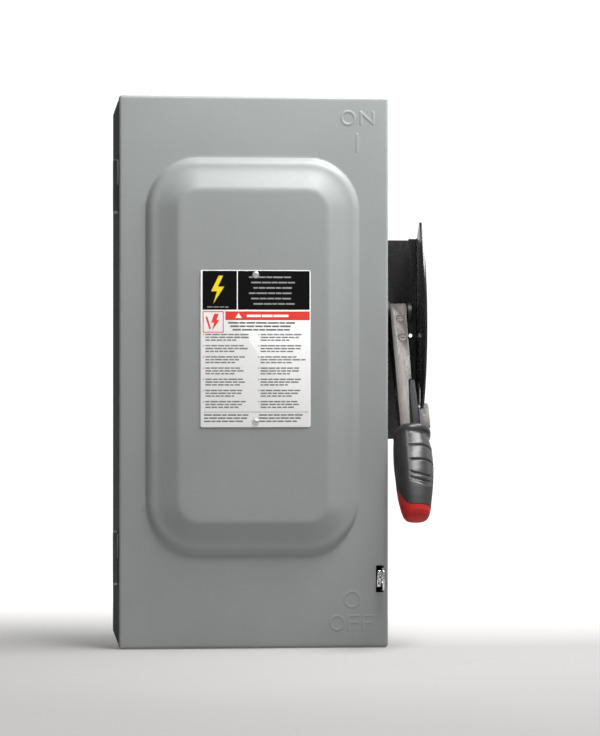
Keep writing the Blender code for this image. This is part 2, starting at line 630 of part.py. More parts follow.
def build_spring(handle):
    """Torsion spring around the shaft: a round wire wound as a helix."""
    curve = bpy.data.curves.new("drive_spring", "CURVE")
    curve.dimensions = "3D"
    curve.bevel_depth = SPRING_WIRE
    curve.bevel_resolution = 1
    curve.render_resolution_u = 0
    curve.use_fill_caps = True
    steps = 16 * SPRING_TURNS
    wire = curve.splines.new("POLY")
    wire.points.add(steps)
    for i, point in enumerate(wire.points):
        share = i / steps
        angle = math.tau * SPRING_TURNS * share
        along = SPRING_X[0] + (SPRING_X[1] - SPRING_X[0]) * share
        point.co = (along, SPRING_RADIUS * math.cos(angle), SPRING_RADIUS * math.sin(angle), 1.0)
    curve.materials.append(PAINTS["zinc_steel"])
    spring = bpy.data.objects.new("drive_spring", curve)
    bpy.context.collection.objects.link(spring)
    spring.parent = handle


# ---- poles ----------------------------------------------------------------------------------

def build_base(name, z):
    """Moulded base with low ribs between the poles."""
    ribs = [POLES[0] - RIB_OFFSET] + [x + RIB_OFFSET for x in POLES[:2]]
    front = [(BASE_X[1], BASE_FRONT)]
    for x in reversed(ribs):
        front += [(x + RIB_HALF, BASE_FRONT), (x + RIB_HALF, RIB_FRONT), (x - RIB_HALF, RIB_FRONT),
                  (x - RIB_HALF, BASE_FRONT)]
    back = BACK_INSIDE - GAP
    outline = front + [(BASE_X[0], BASE_FRONT), (BASE_X[0], back), (BASE_X[1], back)]
    solid(name, prism(outline, "Z", *z), "phenolic")


def build_cheeks(name, x, strap_z, cheek_z):
    """Strap along the base with two cheeks that the blade runs between."""
    back = BASE_FRONT - GAP
    contact = solid(name, block((x - STRAP_HALF, back - STRAP, strap_z[0]), (x + STRAP_HALF, back, strap_z[1])),
                    "tinned_copper")
    inner = BLADE_HALF + GAP
    for near, far in ((inner, inner + CHEEK), (-inner - CHEEK, -inner)):
        join(contact, block((x + near, CHEEK_FRONT, cheek_z[0]), (x + far, back - STRAP / 2, cheek_z[1])))
    return contact


def build_blade(number, x, rotor):
    """Knife blade, round at its hinge end, with its pin."""
    width, length = BLADE_HALF_WIDTH, BLADE_LENGTH
    outline = rounded([(-width, -width, width * 0.98), (width, -width, width * 0.98), (width, length, 0.003),
                       (-width, length, 0.006)])
    blade = solid(f"knife_blade_{number}", prism(outline, "X", x - BLADE_HALF, x + BLADE_HALF), "tinned_copper", rotor)
    cut(blade, rod("X", 0.0, 0.0, BLADE_PIN_RADIUS + GAP, x - BLADE_HALF - PAST, x + BLADE_HALF + PAST, SMALL_ROUND))


def build_hinge_clip(number, x):
    """Contact with the blade's riveted hinge pin across its cheeks; it runs down to the fuse."""
    clip = build_cheeks(f"blade_hinge_clip_{number}", x, (HINGE_STRAP_BOTTOM, HINGE_CLIP_Z[1]), HINGE_CLIP_Z)
    reach = BLADE_HALF + GAP + CHEEK + 0.001
    join(clip, rod("X", BLADE_AXIS.y, BLADE_AXIS.z, BLADE_PIN_RADIUS, x - reach, x + reach, SMALL_ROUND))


def build_chute(number, x):
    """Arc chute: hood over the jaw, open in front and below for the blade."""
    half, hole = CHUTE_HALF, CHUTE_HALF - CHUTE_WALL
    low, high = CHUTE_Z
    outline = [(x - half, low), (x - hole, low), (x - hole, high - CHUTE_WALL), (x + hole, high - CHUTE_WALL),
               (x + hole, low), (x + half, low), (x + half, high), (x - half, high)]
    solid(f"arc_chute_{number}", prism(outline, "Y", CHUTE_FRONT, BASE_FRONT - STRAP - 2 * GAP), "arc_grey")


def build_lug(name, x, z):
    """Box lug with a hole for the wire."""
    back = BASE_FRONT - STRAP - 2 * GAP
    lug = solid(name, block((x - LUG_HALF, back - LUG_DEPTH, z[0]), (x + LUG_HALF, back, z[1])), "lug_aluminium")
    cut(lug, rod("Z", x, back - LUG_HOLE - 0.002, LUG_HOLE, z[0] - PAST, z[1] + PAST, SMALL_ROUND))


def fuse_clip(name, x, back, z):
    """Spring clip for the fuse's end cap: a U with flared tips."""
    half, tip = FUSE_CLIP_HALF, FUSE_CLIP_FRONT
    bore, floor, flare = half - CHEEK, back - CHEEK, 0.003
    outline = [(x - half, back), (x - half, tip + flare), (x - half - flare / 2, tip), (x - bore - flare / 2, tip),
               (x - bore, tip + flare), (x - bore, floor), (x + bore, floor), (x + bore, tip + flare),
               (x + bore + flare / 2, tip), (x + half + flare / 2, tip), (x + half, tip + flare), (x + half, back)]
    return solid(name, prism(outline, "Z", *z), "tinned_copper")


def build_pole(number, x, rotor):
    strap_back = BASE_FRONT - GAP
    build_cheeks(f"line_jaw_{number}", x, (JAW_Z[0], JAW_STRAP_TOP), JAW_Z)
    build_chute(number, x)
    build_lug(f"line_lug_{number}", x, LINE_LUG_Z)
    build_hinge_clip(number, x)
    build_blade(number, x, rotor)
    fuse_clip(f"upper_fuse_clip_{number}", x, strap_back - STRAP - GAP, UPPER_CLIP_Z)
    lower = fuse_clip(f"lower_fuse_clip_{number}", x, strap_back, LOWER_CLIP_Z)
    join(lower, block((x - STRAP_HALF, strap_back - STRAP, LOWER_STRAP_BOTTOM),
                      (x + STRAP_HALF, strap_back, LOWER_CLIP_Z[1] - CHEEK)))
    build_lug(f"load_lug_{number}", x, LOAD_LUG_Z)


def build_rotor(rotor):
    """Insulating crossbar over the blades, and the steel arm at its driven end."""
    bar = block((CROSSBAR_X[0], CROSSBAR_Y[0], CROSSBAR_Z[0]), (CROSSBAR_X[1], CROSSBAR_Y[1], CROSSBAR_Z[1]))
    solid("crossbar", bar, "phenolic", rotor)
    middle = (sum(CROSSBAR_Y) / 2, sum(CROSSBAR_Z) / 2)
    arm = solid("rotor_arm", prism(capsule((0.0, 0.0), middle, *ROTOR_ARM_RADIUS), "X", *ROTOR_ARM_X),
                "zinc_steel", rotor)
    hole = ROTOR_PIN_RADIUS + GAP
    cut(arm, rod("X", 0.0, 0.0, hole, ROTOR_ARM_X[0] - PAST, ROTOR_ARM_X[1] + PAST))
    back = BACK_INSIDE - GAP
    outline = [(PLATE_X[0], back), (PLATE_X[0], PLATE_FRONT), (PLATE_X[1], PLATE_FRONT), (PLATE_X[1], back - CHEEK),
               (PLATE_FOOT_X, back - CHEEK), (PLATE_FOOT_X, back)]
    plate = solid("mechanism_plate", prism(outline, "Z", *PLATE_Z), "zinc_steel")
    centre = (BLADE_AXIS.y, BLADE_AXIS.z)
    cut(plate, rod("X", *centre, hole, PLATE_X[0] - PAST, PLATE_X[1] + PAST))
    solid("rotor_pin", rod("X", *centre, ROTOR_PIN_RADIUS, *ROTOR_PIN_X), "zinc_steel", smooth=True)


def build_all():
    hinge = axis_empty("cover_axis", (HINGE_X, HINGE_Y, 0.0))
    latch = axis_empty("latch_axis", ((LATCH_X[0] + LATCH_X[1]) / 2, *LATCH_PIVOT))
    handle = axis_empty("handle_axis", PIVOT, -HANDLE_LEAN)
    rotor = axis_empty("rotor_axis", BLADE_AXIS, BLADE_OPEN)
    build_wrapper()
    build_end_wall("top_end_wall", 1)
    build_end_wall("bottom_end_wall", -1)
    build_cover(hinge)
    build_label(hinge)
    build_hinges(hinge)
    build_staple()
    build_latch(hinge, latch)
    build_bracket()
    build_shaft(handle)
    build_arm(handle)
    build_lock_plate(handle)
    build_grip(handle)
    build_crank(handle)
    build_spring(handle)
    build_base("switch_base", SWITCH_BASE_Z)
    build_base("fuse_base", FUSE_BASE_Z)
    for number, x in enumerate(POLES, 1):
        build_pole(number, x, rotor)
    build_rotor(rotor)
    solid("ground_bar", block(*GROUND_BAR), "lug_aluminium")


build_all()
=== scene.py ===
"""Looks of a side-operated, fusible safety switch in a wall-mounted sheet-steel box.

The box's back is at Y = 0, its cover faces -Y, +Z is up and the handle is on the +X side.
"""
import math

import bmesh
import bpy
from mathutils import Matrix, Vector


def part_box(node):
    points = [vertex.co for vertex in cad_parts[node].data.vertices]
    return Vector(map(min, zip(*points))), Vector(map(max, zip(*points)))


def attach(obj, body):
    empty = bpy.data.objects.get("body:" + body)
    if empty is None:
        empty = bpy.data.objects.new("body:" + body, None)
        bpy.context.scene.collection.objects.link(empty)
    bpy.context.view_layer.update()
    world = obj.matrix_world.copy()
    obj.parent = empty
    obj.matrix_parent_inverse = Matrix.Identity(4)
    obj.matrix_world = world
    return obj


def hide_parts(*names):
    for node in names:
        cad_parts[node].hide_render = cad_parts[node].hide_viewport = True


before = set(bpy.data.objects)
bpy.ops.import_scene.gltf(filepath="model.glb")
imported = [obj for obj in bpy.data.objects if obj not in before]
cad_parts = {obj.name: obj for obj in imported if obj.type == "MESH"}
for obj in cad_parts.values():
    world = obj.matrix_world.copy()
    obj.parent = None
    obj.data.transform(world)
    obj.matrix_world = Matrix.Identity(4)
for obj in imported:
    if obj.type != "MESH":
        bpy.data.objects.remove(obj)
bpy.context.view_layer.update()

MM = 0.001
SHEET = 1.5 * MM
SMOOTH_ANGLE = math.radians(32.0)   # sharper edges than this stay sharp in the shading
ROUND_ANGLE = math.radians(50.0)    # the same, for round pieces with coarse steps
BEVEL_ANGLE = math.radians(30.0)    # sharper edges than this are rounded
FLAT_ANGLE = math.radians(1.0)      # faces that meet at less than this become one
WELD = 1e-6                         # corners closer than this are one corner
PAST = 2.0 * MM                     # how far a cutter runs past what it cuts


# ---- mesh tools ----

def ease(value):
    """0 to 1 with a soft start and end."""
    value = max(0.0, min(1.0, value))
    return value * value * (3 - 2 * value)


def place_on(axis, u, v, along):
    """A place from its distance along an axis and its two other coordinates."""
    return {"X": (along, u, v), "Y": (u, along, v), "Z": (u, v, along)}[axis]


def to_object(name, bm):
    """A new object from a bmesh, which is used up."""
    bmesh.ops.recalc_face_normals(bm, faces=bm.faces)
    mesh = bpy.data.meshes.new(name)
    bm.to_mesh(mesh)
    bm.free()
    piece = bpy.data.objects.new(name, mesh)
    bpy.context.collection.objects.link(piece)
    return piece


def from_object(helper):
    """The bmesh of a helper object, which is removed."""
    bm = bmesh.new()
    bm.from_mesh(helper.data)
    bpy.data.objects.remove(helper, do_unlink=True)
    return bm


def settle(piece, angle=SMOOTH_ANGLE):
    """Apply a piece's modifiers and shade it smooth between its sharp edges."""
    graph = bpy.context.evaluated_depsgraph_get()
    mesh = bpy.data.meshes.new_from_object(piece.evaluated_get(graph))
    piece.modifiers.clear()
    piece.data = mesh
    mesh.name = piece.name
    mesh.shade_smooth()
    mesh.set_sharp_from_angle(angle=angle)
    return piece


def centre_xz(low, high):
    """X and Z of a box's middle."""
    return (low.x + high.x) / 2, (low.z + high.z) / 2


def block(low, high):
    bm = bmesh.new()
    size = Vector(high) - Vector(low)
    middle = (Vector(high) + Vector(low)) / 2
    matrix = Matrix.Translation(middle) @ Matrix.Diagonal((*size, 1.0))
    bmesh.ops.create_cube(bm, size=1.0, matrix=matrix)
    return bm


def prism(outline, axis, low, high):
    """An outline drawn out along an axis."""
    bm = bmesh.new()
    face = bm.faces.new([bm.verts.new(place_on(axis, u, v, low)) for u, v in outline])
    grown = bmesh.ops.extrude_face_region(bm, geom=[face])["geom"]
    ends = [item for item in grown if isinstance(item, bmesh.types.BMVert)]
    bmesh.ops.translate(bm, verts=ends, vec=place_on(axis, 0.0, 0.0, high - low))
    bmesh.ops.recalc_face_normals(bm, faces=bm.faces)
    return bm


def skin(bm, rings):
    """Add faces between rings of points, and return the rings' corners."""
    rows = [[bm.verts.new(point) for point in ring] for ring in rings]
    for lower, upper in zip(rows, rows[1:]):
        for i in range(len(lower)):
            after = (i + 1) % len(lower)
            bm.faces.new((lower[i], lower[after], upper[after], upper[i]))
    return rows


def loft(rings):
    """A closed skin through rings of points, with a fan over each end."""
    bm = bmesh.new()
    rows = skin(bm, rings)
    for row in (rows[0], rows[-1]):
        middle = bm.verts.new(sum((v.co for v in row), Vector()) / len(row))
        for i in range(len(row)):
            bm.faces.new((row[i], row[(i + 1) % len(row)], middle))
    bmesh.ops.recalc_face_normals(bm, faces=bm.faces)
    return bm


def circle(u, v, radius, sides=32):
    angles = [math.tau * i / sides for i in range(sides)]
    return [(u + radius * math.cos(a), v + radius * math.sin(a)) for a in angles]


def rod(axis, u, v, radius, low, high, sides=32):
    return prism(circle(u, v, radius, sides), axis, low, high)


def turned(axis, u, v, profile, sides=32):
    """A round piece from (distance along the axis, radius) pairs."""
    return loft([[place_on(axis, a, b, along) for a, b in circle(u, v, radius, sides)]
                 for along, radius in profile])


def rounded(corners, steps=6):
    """Outline through (u, v, radius) corners, each rounded by an arc of that radius."""
    outline = []
    for i, (u, v, radius) in enumerate(corners):
        corner = Vector((u, v))
        if not radius:
            outline.append(tuple(corner))
            continue
        back = (Vector(corners[i - 1][:2]) - corner).normalized()
        ahead = (Vector(corners[(i + 1) % len(corners)][:2]) - corner).normalized()
        half = back.angle(ahead) / 2
        centre = corner + (back + ahead).normalized() * radius / math.sin(half)
        start = corner + back * radius / math.tan(half) - centre
        end = corner + ahead * radius / math.tan(half) - centre
        turn = math.atan2(start.cross(end), start.dot(end))
        for step in range(steps + 1):
            outline.append(tuple(centre + Matrix.Rotation(turn * step / steps, 2) @ start))
    return outline


def rounded_box(centre, half, radius, steps=6):
    (u, v), (a, b) = centre, half
    return rounded([(u - a, v - b, radius), (u + a, v - b, radius), (u + a, v + b, radius),
                    (u - a, v + b, radius)], steps)


def combine(piece, bm, operation):
    """Apply a boolean of a piece with the solid in a bmesh."""
    tool = to_object("tool", bm)
    step = piece.modifiers.new(operation, "BOOLEAN")
    step.operation = operation
    step.solver = "EXACT"
    step.object = tool
    graph = bpy.context.evaluated_depsgraph_get()
    mesh = bpy.data.meshes.new_from_object(piece.evaluated_get(graph))
    piece.modifiers.clear()
    piece.data = mesh
    bpy.data.objects.remove(tool, do_unlink=True)
    return piece


def cut(piece, bm):
    return combine(piece, bm, "DIFFERENCE")


def join(piece, bm):
    return combine(piece, bm, "UNION")


def soften(piece, width, segments=2):
    """Merge flat faces and round every sharp edge of a piece."""
    clean = piece.modifiers.new("flat", "DECIMATE")
    clean.decimate_type = "DISSOLVE"
    clean.angle_limit = FLAT_ANGLE
    bevel = piece.modifiers.new("edges", "BEVEL")
    bevel.width = width
    bevel.segments = segments
    bevel.limit_method = "ANGLE"
    bevel.angle_limit = BEVEL_ANGLE
    bevel.miter_outer = "MITER_ARC"
    bevel.use_clamp_overlap = True
    return settle(piece)


def lean(piece, pivot, angle):
    """Turn a piece modelled hanging straight down from the pivot to its resting angle."""
    piece.data.transform(Matrix.Translation(pivot) @ Matrix.Rotation(angle, 4, "X"))
    return piece


def finish_piece(piece, material, body, slot, *nodes):
    """Give a piece its material and body, and hide the CAD nodes it stands for; the slot is not used."""
    piece.data.materials.clear()
    piece.data.materials.append(material)
    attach(piece, body)
    if nodes:
        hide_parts(*nodes)
    return piece


def cad_copy(node):
    """A new piece with a CAD node's own shape."""
    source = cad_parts[node]
    bm = bmesh.new()
    bm.from_mesh(source.data)
    bm.transform(source.matrix_world)
    bmesh.ops.remove_doubles(bm, verts=bm.verts, dist=WELD)
    return to_object(f"{node}_fine", bm)


def refined(node, width, material, body, slot, segments=2):
    """A CAD node's own shape with its edges rounded."""
    piece = cad_copy(node)
    soften(piece, width, segments)
    return finish_piece(piece, material, body, slot, node)


# ---- materials ----

class Recipe:
    """Short names for the nodes of one material."""

    def __init__(self, name, colour, roughness, metallic=0.0):
        self.material = bpy.data.materials.new(name)
        self.material.use_nodes = True
        self.tree = self.material.node_tree
        self.shader = self.tree.nodes["Principled BSDF"]
        self.shader.inputs["Base Color"].default_value = (*colour, 1.0)
        self.shader.inputs["Roughness"].default_value = roughness
        self.shader.inputs["Metallic"].default_value = metallic
        self.coords = self.tree.nodes.new("ShaderNodeTexCoord").outputs["Object"]

    def node(self, kind, inputs=(), **settings):
        made = self.tree.nodes.new(kind)
        for key, value in settings.items():
            setattr(made, key, value)
        for key, value in dict(inputs).items():
            self.feed(made.inputs[key], value)
        return made

    def feed(self, socket, value):
        """Link a socket to another node's output, or set its value."""
        if isinstance(value, bpy.types.NodeSocket):
            self.tree.links.new(value, socket)
        else:
            socket.default_value = value

    def maths(self, operation, first, second=0.0):
        return self.node("ShaderNodeMath", {0: first, 1: second}, operation=operation).outputs[0]

    def noise(self, scale, detail=4.0, rough=0.5, stretch=None):
        vector = self.coords
        if stretch:
            vector = self.node("ShaderNodeMapping", {"Vector": vector, "Scale": stretch}).outputs["Vector"]
        return self.node("ShaderNodeTexNoise", {"Vector": vector, "Scale": scale, "Detail": detail,
                                                "Roughness": rough}).outputs["Fac"]

    def cells(self, scale):
        return self.node("ShaderNodeTexVoronoi", {"Vector": self.coords, "Scale": scale}).outputs["Color"]

    def spread(self, value, low, high, new_low, new_high):
        """Stretch low..high to new_low..new_high, held at both ends."""
        return self.node("ShaderNodeMapRange", {"Value": value, "From Min": low, "From Max": high,
                                                "To Min": new_low, "To Max": new_high}).outputs["Result"]

    def shade(self, factor, dark, light):
        """A colour from dark to light over the middle of a noise."""
        ramp = self.node("ShaderNodeValToRGB", {"Fac": factor})
        ramp.color_ramp.elements[0].position = 0.3
        ramp.color_ramp.elements[1].position = 0.7
        ramp.color_ramp.elements[0].color = (*dark, 1.0)
        ramp.color_ramp.elements[1].color = (*light, 1.0)
        return ramp.outputs["Color"]

    def blend(self, factor, first, second):
        """A colour socket turned into a plain colour where the factor is 1."""
        mix = self.node("ShaderNodeMix", data_type="RGBA")
        self.feed(mix.inputs[0], factor)
        self.feed(mix.inputs[6], first)
        self.feed(mix.inputs[7], (*second, 1.0))
        return mix.outputs[2]

    def bump(self, height, distance, strength=1.0, below=None):
        inputs = {"Height": height, "Distance": distance, "Strength": strength}
        if below is not None:
            inputs["Normal"] = below
        return self.node("ShaderNodeBump", inputs).outputs["Normal"]

    def put(self, **sockets):
        """Feed the shader's own sockets, named in lower case."""
        for name, value in sockets.items():
            self.feed(self.shader.inputs[name.replace("_", " ").title().replace("Ior", "IOR")], value)
        return self.material


def scaled(colour, factor):
    return tuple(min(1.0, channel * factor) for channel in colour)


def enamel(name, colour, roughness, peel=0.03 * MM, shine=0.5, dust=0.0):
    """Baked enamel: orange peel, faint clouding, fine specks and a thin film of dust."""
    r = Recipe(name, colour, roughness)
    r.put(specular_ior_level=shine, sheen_weight=dust, sheen_roughness=0.45)
    cloud = r.noise(9.0, 5.0, 0.6)
    fine = r.noise(240.0, 3.0)
    tint = r.shade(cloud, scaled(colour, 0.95), scaled(colour, 1.05))
    speck = r.spread(r.noise(900.0, 2.0), 0.70, 0.78, 0.0, 0.35)
    tint = r.blend(speck, tint, scaled(colour, 1.25))
    rough = r.spread(fine, 0.3, 0.7, roughness - 0.05, roughness + 0.06)
    wide = r.bump(r.noise(160.0, 2.0, 0.4), peel * 3.0)
    peeled = r.bump(r.noise(650.0, 2.0, 0.4), peel, below=wide)
    return r.put(base_color=tint, roughness=rough, normal=peeled)


def plated(name, colour, roughness, grain, spangle=0.06):
    """Plated or bare metal: faint spangle, drawn grain and fine scratches."""
    r = Recipe(name, colour, roughness, 1.0)
    flake = r.node("ShaderNodeSeparateColor", {"Color": r.cells(420.0)}).outputs[0]
    cloud = r.noise(35.0, 6.0, 0.65)
    tone = r.spread(flake, 0.0, 1.0, 0.5 - spangle, 0.5 + spangle)
    mixed = r.maths("ADD", tone, r.spread(cloud, 0.25, 0.75, -0.14, 0.14))
    tint = r.shade(mixed, scaled(colour, 0.82), scaled(colour, 1.10))
    scratch = r.noise(700.0, 4.0, 0.7, grain)
    rough = r.spread(scratch, 0.3, 0.7, roughness - 0.08, roughness + 0.10)
    normal = r.bump(scratch, 0.01 * MM, 0.6, below=r.bump(flake, 0.006 * MM, 0.5))
    return r.put(base_color=tint, roughness=rough, normal=normal)


def moulded(name, colour, roughness, grain=0.02 * MM, shine=0.5):
    """Moulded plastic: fine grain with slightly polished patches."""
    r = Recipe(name, colour, roughness)
    r.put(specular_ior_level=shine)
    patch = r.noise(40.0, 4.0, 0.6)
    tint = r.shade(patch, scaled(colour, 0.88), scaled(colour, 1.12))
    rough = r.spread(patch, 0.3, 0.7, roughness - 0.06, roughness + 0.06)
    normal = r.bump(r.noise(1500.0, 3.0, 0.5), grain)
    return r.put(base_color=tint, roughness=rough, normal=normal)


def ink(name, colour, shine=0.4):
    """Printed film: dot-level unevenness and a light gloss."""
    roughness = 0.35
    r = Recipe(name, colour, roughness)
    r.put(specular_ior_level=shine)
    tint = r.shade(r.noise(1800.0, 2.0), scaled(colour, 0.93), scaled(colour, 1.05))
    rough = r.spread(r.noise(60.0, 3.0), 0.3, 0.7, roughness - 0.05, roughness + 0.05)
    return r.put(base_color=tint, roughness=rough, normal=r.bump(r.noise(500.0, 2.0), 0.008 * MM))


# grain is how the noise is stretched on each axis: a small number draws it out along that one
ALONG_X, ALONG_Z = (0.05, 1.0, 1.0), (1.0, 1.0, 0.04)

GREY = enamel("grey_enamel_paint", (0.252, 0.267, 0.263), 0.42, shine=0.4)
# A darker grey with no shine: its colour paints the shade on the box's left side and on the cover's
# left-facing faces.
GREY_PAINTED_SHADE = enamel("grey_enamel_painted_shade", (0.105, 0.111, 0.109), 0.75, shine=0.0)
BLACK = enamel("black_enamel_paint", (0.004, 0.004, 0.004), 0.26, 0.0006 * MM, dust=0.08)
ZINC = plated("zinc_plate", (0.36, 0.348, 0.332), 0.42, ALONG_Z)
GALVANISED = plated("galvanised_sheet", (0.060, 0.0565, 0.0538), 0.50, ALONG_Z)
# A near-black steel whose colour paints the shade on the lock plate's strip beside the black guard.
STEEL_PAINTED_SHADE = plated("dark_steel_painted_shade", (0.0135, 0.0139, 0.0152), 0.48, ALONG_Z)
CHROME = plated("bright_plate", (0.80, 0.80, 0.80), 0.16, (0.2, 1.0, 1.0), 0.02)
COPPER = plated("tinned_copper_plate", (0.72, 0.60, 0.49), 0.36, (1.0, 1.0, 0.05))
ALUMINIUM = plated("milled_aluminium", (0.70, 0.70, 0.71), 0.38, ALONG_X)
GRIP_BLACK = moulded("grip_black_plastic", (0.016, 0.016, 0.016), 0.52, shine=0.35)
GRIP_GLOSS = moulded("grip_gloss_plastic", (0.034, 0.034, 0.034), 0.28, 0.006 * MM, shine=0.22)
GRIP_RED = moulded("grip_red_plastic", (0.37, 0.016, 0.014), 0.46, shine=0.2)
PHENOLIC = moulded("dark_phenolic", (0.045, 0.036, 0.033), 0.42)
ARC_GREY = moulded("arc_board", (0.36, 0.34, 0.31), 0.62)
FILM_WHITE = ink("label_white", (0.93, 0.93, 0.92))
INK_BLACK = ink("label_black", (0.004, 0.004, 0.004), shine=0.1)
INK_PALE = ink("label_pale_grey", (0.30, 0.30, 0.30))
INK_GREY = ink("label_grey", (0.16, 0.16, 0.16))
INK_RED = ink("label_red", (0.72, 0.045, 0.03))
INK_YELLOW = ink("label_yellow", (0.80, 0.62, 0.02))

# ---- cover ----

COVER_LOW, COVER_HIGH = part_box("front_cover")
COVER_HALF = ((COVER_HIGH.x - COVER_LOW.x) / 2, (COVER_HIGH.z - COVER_LOW.z) / 2)
COVER_EDGE = COVER_HIGH.y
PAN_RISE = 12.0 * MM
COVER_PLANE = COVER_LOW.y + PAN_RISE
PAN_CENTRE = (-1.2 * MM, 12.8 * MM)
PAN_HALF = (86.4 * MM, 160.2 * MM)
PAN_RADIUS = 43.0 * MM
# the raised panel's edge, mm: (distance in from its outline, rise)
PAN_PROFILE = ((0.0, 0.0), (0.8, 0.6), (1.8, 1.9), (3.0, 3.1), (4.4, 3.9), (6.0, 4.5), (7.8, 4.9),
               (9.8, 5.4), (12.2, 6.2), (16.0, 7.7), (23.6, 10.8), (25.4, 11.5), (27.2, 11.9), (29.0, 12.0))
BEND = 2.2 * MM
BEND_STEPS = 6
CORNER_TURNS = 5
LEFT_FACING = -0.8            # faces whose normal's X is below this look to the left
SLOT_X = (98.8 * MM, 105.0 * MM)
SLOT_Z = (-178.0 * MM, -156.3 * MM)

EMBOSS_RISE = 0.34 * MM
EMBOSS_HALF_WIDTH = 0.55 * MM
EMBOSS_FADE = 0.75 * MM
LETTER_ZONE_LEFT = 59.0 * MM
LETTER_ZONES_Z = ((-211.5 * MM, -175.0 * MM), (175.0 * MM, 213.0 * MM))
LETTER_STEP = 0.42 * MM       # the face's grid: fine at the marks, wide on the open panel
RAMP_STEP = 1.2 * MM
EDGE_STEP = 2.0 * MM
OPEN_STEP = 6.0 * MM


def pan_height(inset):
    """Rise of the drawn panel at a distance in: a short steep wall, a round rim, a long slope."""
    if inset <= 0.0:
        return 0.0
    for (d0, h0), (d1, h1) in zip(PAN_PROFILE, PAN_PROFILE[1:]):
        if inset < d1 * MM:
            return (h0 + (h1 - h0) * (inset / MM - d0) / (d1 - d0)) * MM
    return PAN_RISE


def pan_inset(x, z):
    """How far a place lies in from the drawn panel's rounded outline; below 0 outside it."""
    u = abs(x - PAN_CENTRE[0]) - PAN_HALF[0] + PAN_RADIUS
    v = abs(z - PAN_CENTRE[1]) - PAN_HALF[1] + PAN_RADIUS
    return PAN_RADIUS - math.hypot(max(u, 0.0), max(v, 0.0)) - min(max(u, v), 0.0)


def letter_strokes():
    """Pressed marks, mm: ON and a bar, a ring and OFF, as rings (x, z, r) and lines (x0, z0, x1, z1)."""
    rings = [(76.2, 205.2, 5.2), (79.4, -183.6, 6.2), (67.2, -202.6, 5.6)]
    lines = [(83.4, 191.6, 83.4, 178.2)]
    lines += [(86.6, 200.6, 86.6, 209.8), (86.6, 209.8, 96.6, 200.6), (96.6, 200.6, 96.6, 209.8)]
    for x in (76.4, 88.2):
        lines += [(x, -208.4, x, -197.0), (x, -197.0, x + 8.4, -197.0), (x, -202.4, x + 6.6, -202.4)]
    return rings, lines


RINGS, LINES = letter_strokes()


def to_line(x, z, x0, z0, x1, z1):
    """Distance from a place to a line."""
    dx, dz = x1 - x0, z1 - z0
    share = max(0.0, min(1.0, ((x - x0) * dx + (z - z0) * dz) / (dx * dx + dz * dz)))
    return math.hypot(x - x0 - share * dx, z - z0 - share * dz)


def emboss(x, z):
    """Height of the pressed marks."""
    u, v = x / MM, z / MM
    if x < LETTER_ZONE_LEFT or abs(z) < LETTER_ZONES_Z[1][0]:
        return 0.0
    gaps = [abs(math.hypot(u - a, v - b) - r) for a, b, r in RINGS] + [to_line(u, v, *line) for line in LINES]
    return EMBOSS_RISE * ease(1.0 - (min(gaps) * MM - EMBOSS_HALF_WIDTH) / EMBOSS_FADE)


def stops(edges):
    """Grid lines: (start, end, step) stretches, each divided evenly."""
    made = []
    for start, end, step in edges:
        count = max(1, round((end - start) / step))
        made += [start + (end - start) * i / count for i in range(count)]
    return made + [edges[-1][1]]


def cover_grid():
    """The grid lines across and up the cover's flat part."""
    fine = PAN_RADIUS + 4.0 * MM
    left, right = PAN_CENTRE[0] - PAN_HALF[0], PAN_CENTRE[0] + PAN_HALF[0]
    low, high = PAN_CENTRE[1] - PAN_HALF[1], PAN_CENTRE[1] + PAN_HALF[1]
    edge_x, edge_z = COVER_HALF[0] - BEND, COVER_HALF[1] - BEND
    bottom, top = LETTER_ZONES_Z
    xs = stops([(-edge_x, left, 2 * EDGE_STEP), (left, left + fine, RAMP_STEP),
                (left + fine, right - fine, OPEN_STEP), (right - fine, LETTER_ZONE_LEFT, RAMP_STEP),
                (LETTER_ZONE_LEFT, SLOT_X[0], LETTER_STEP), (SLOT_X[0], SLOT_X[1], EDGE_STEP),
                (SLOT_X[1], edge_x, EDGE_STEP)])
    zs = stops([(-edge_z, bottom[0], EDGE_STEP), (bottom[0], SLOT_Z[0], LETTER_STEP),
                (SLOT_Z[0], bottom[1], EDGE_STEP / 2), (bottom[1], SLOT_Z[1], EDGE_STEP),
                (SLOT_Z[1], low, EDGE_STEP), (low, low + fine, RAMP_STEP),
                (low + fine, high - fine, OPEN_STEP), (high - fine, top[0], RAMP_STEP),
                (top[0], top[1], LETTER_STEP), (top[1], edge_z, EDGE_STEP)])
    return xs, zs


def in_slot(x, z):
    return SLOT_X[0] < x < SLOT_X[1] and SLOT_Z[0] < z < SLOT_Z[1]


def bend_point(x, z, out_x, out_z, step):
    """A point on the rolled edge outside the flat part; the last step is the flange's end."""
    if step > BEND_STEPS:
        y, reach = COVER_EDGE, BEND
    else:
        turn = math.pi / 2 * step / BEND_STEPS
        y, reach = COVER_PLANE + BEND * (1 - math.cos(turn)), BEND * math.sin(turn)
    return (x + out_x * reach, y, z + out_z * reach)


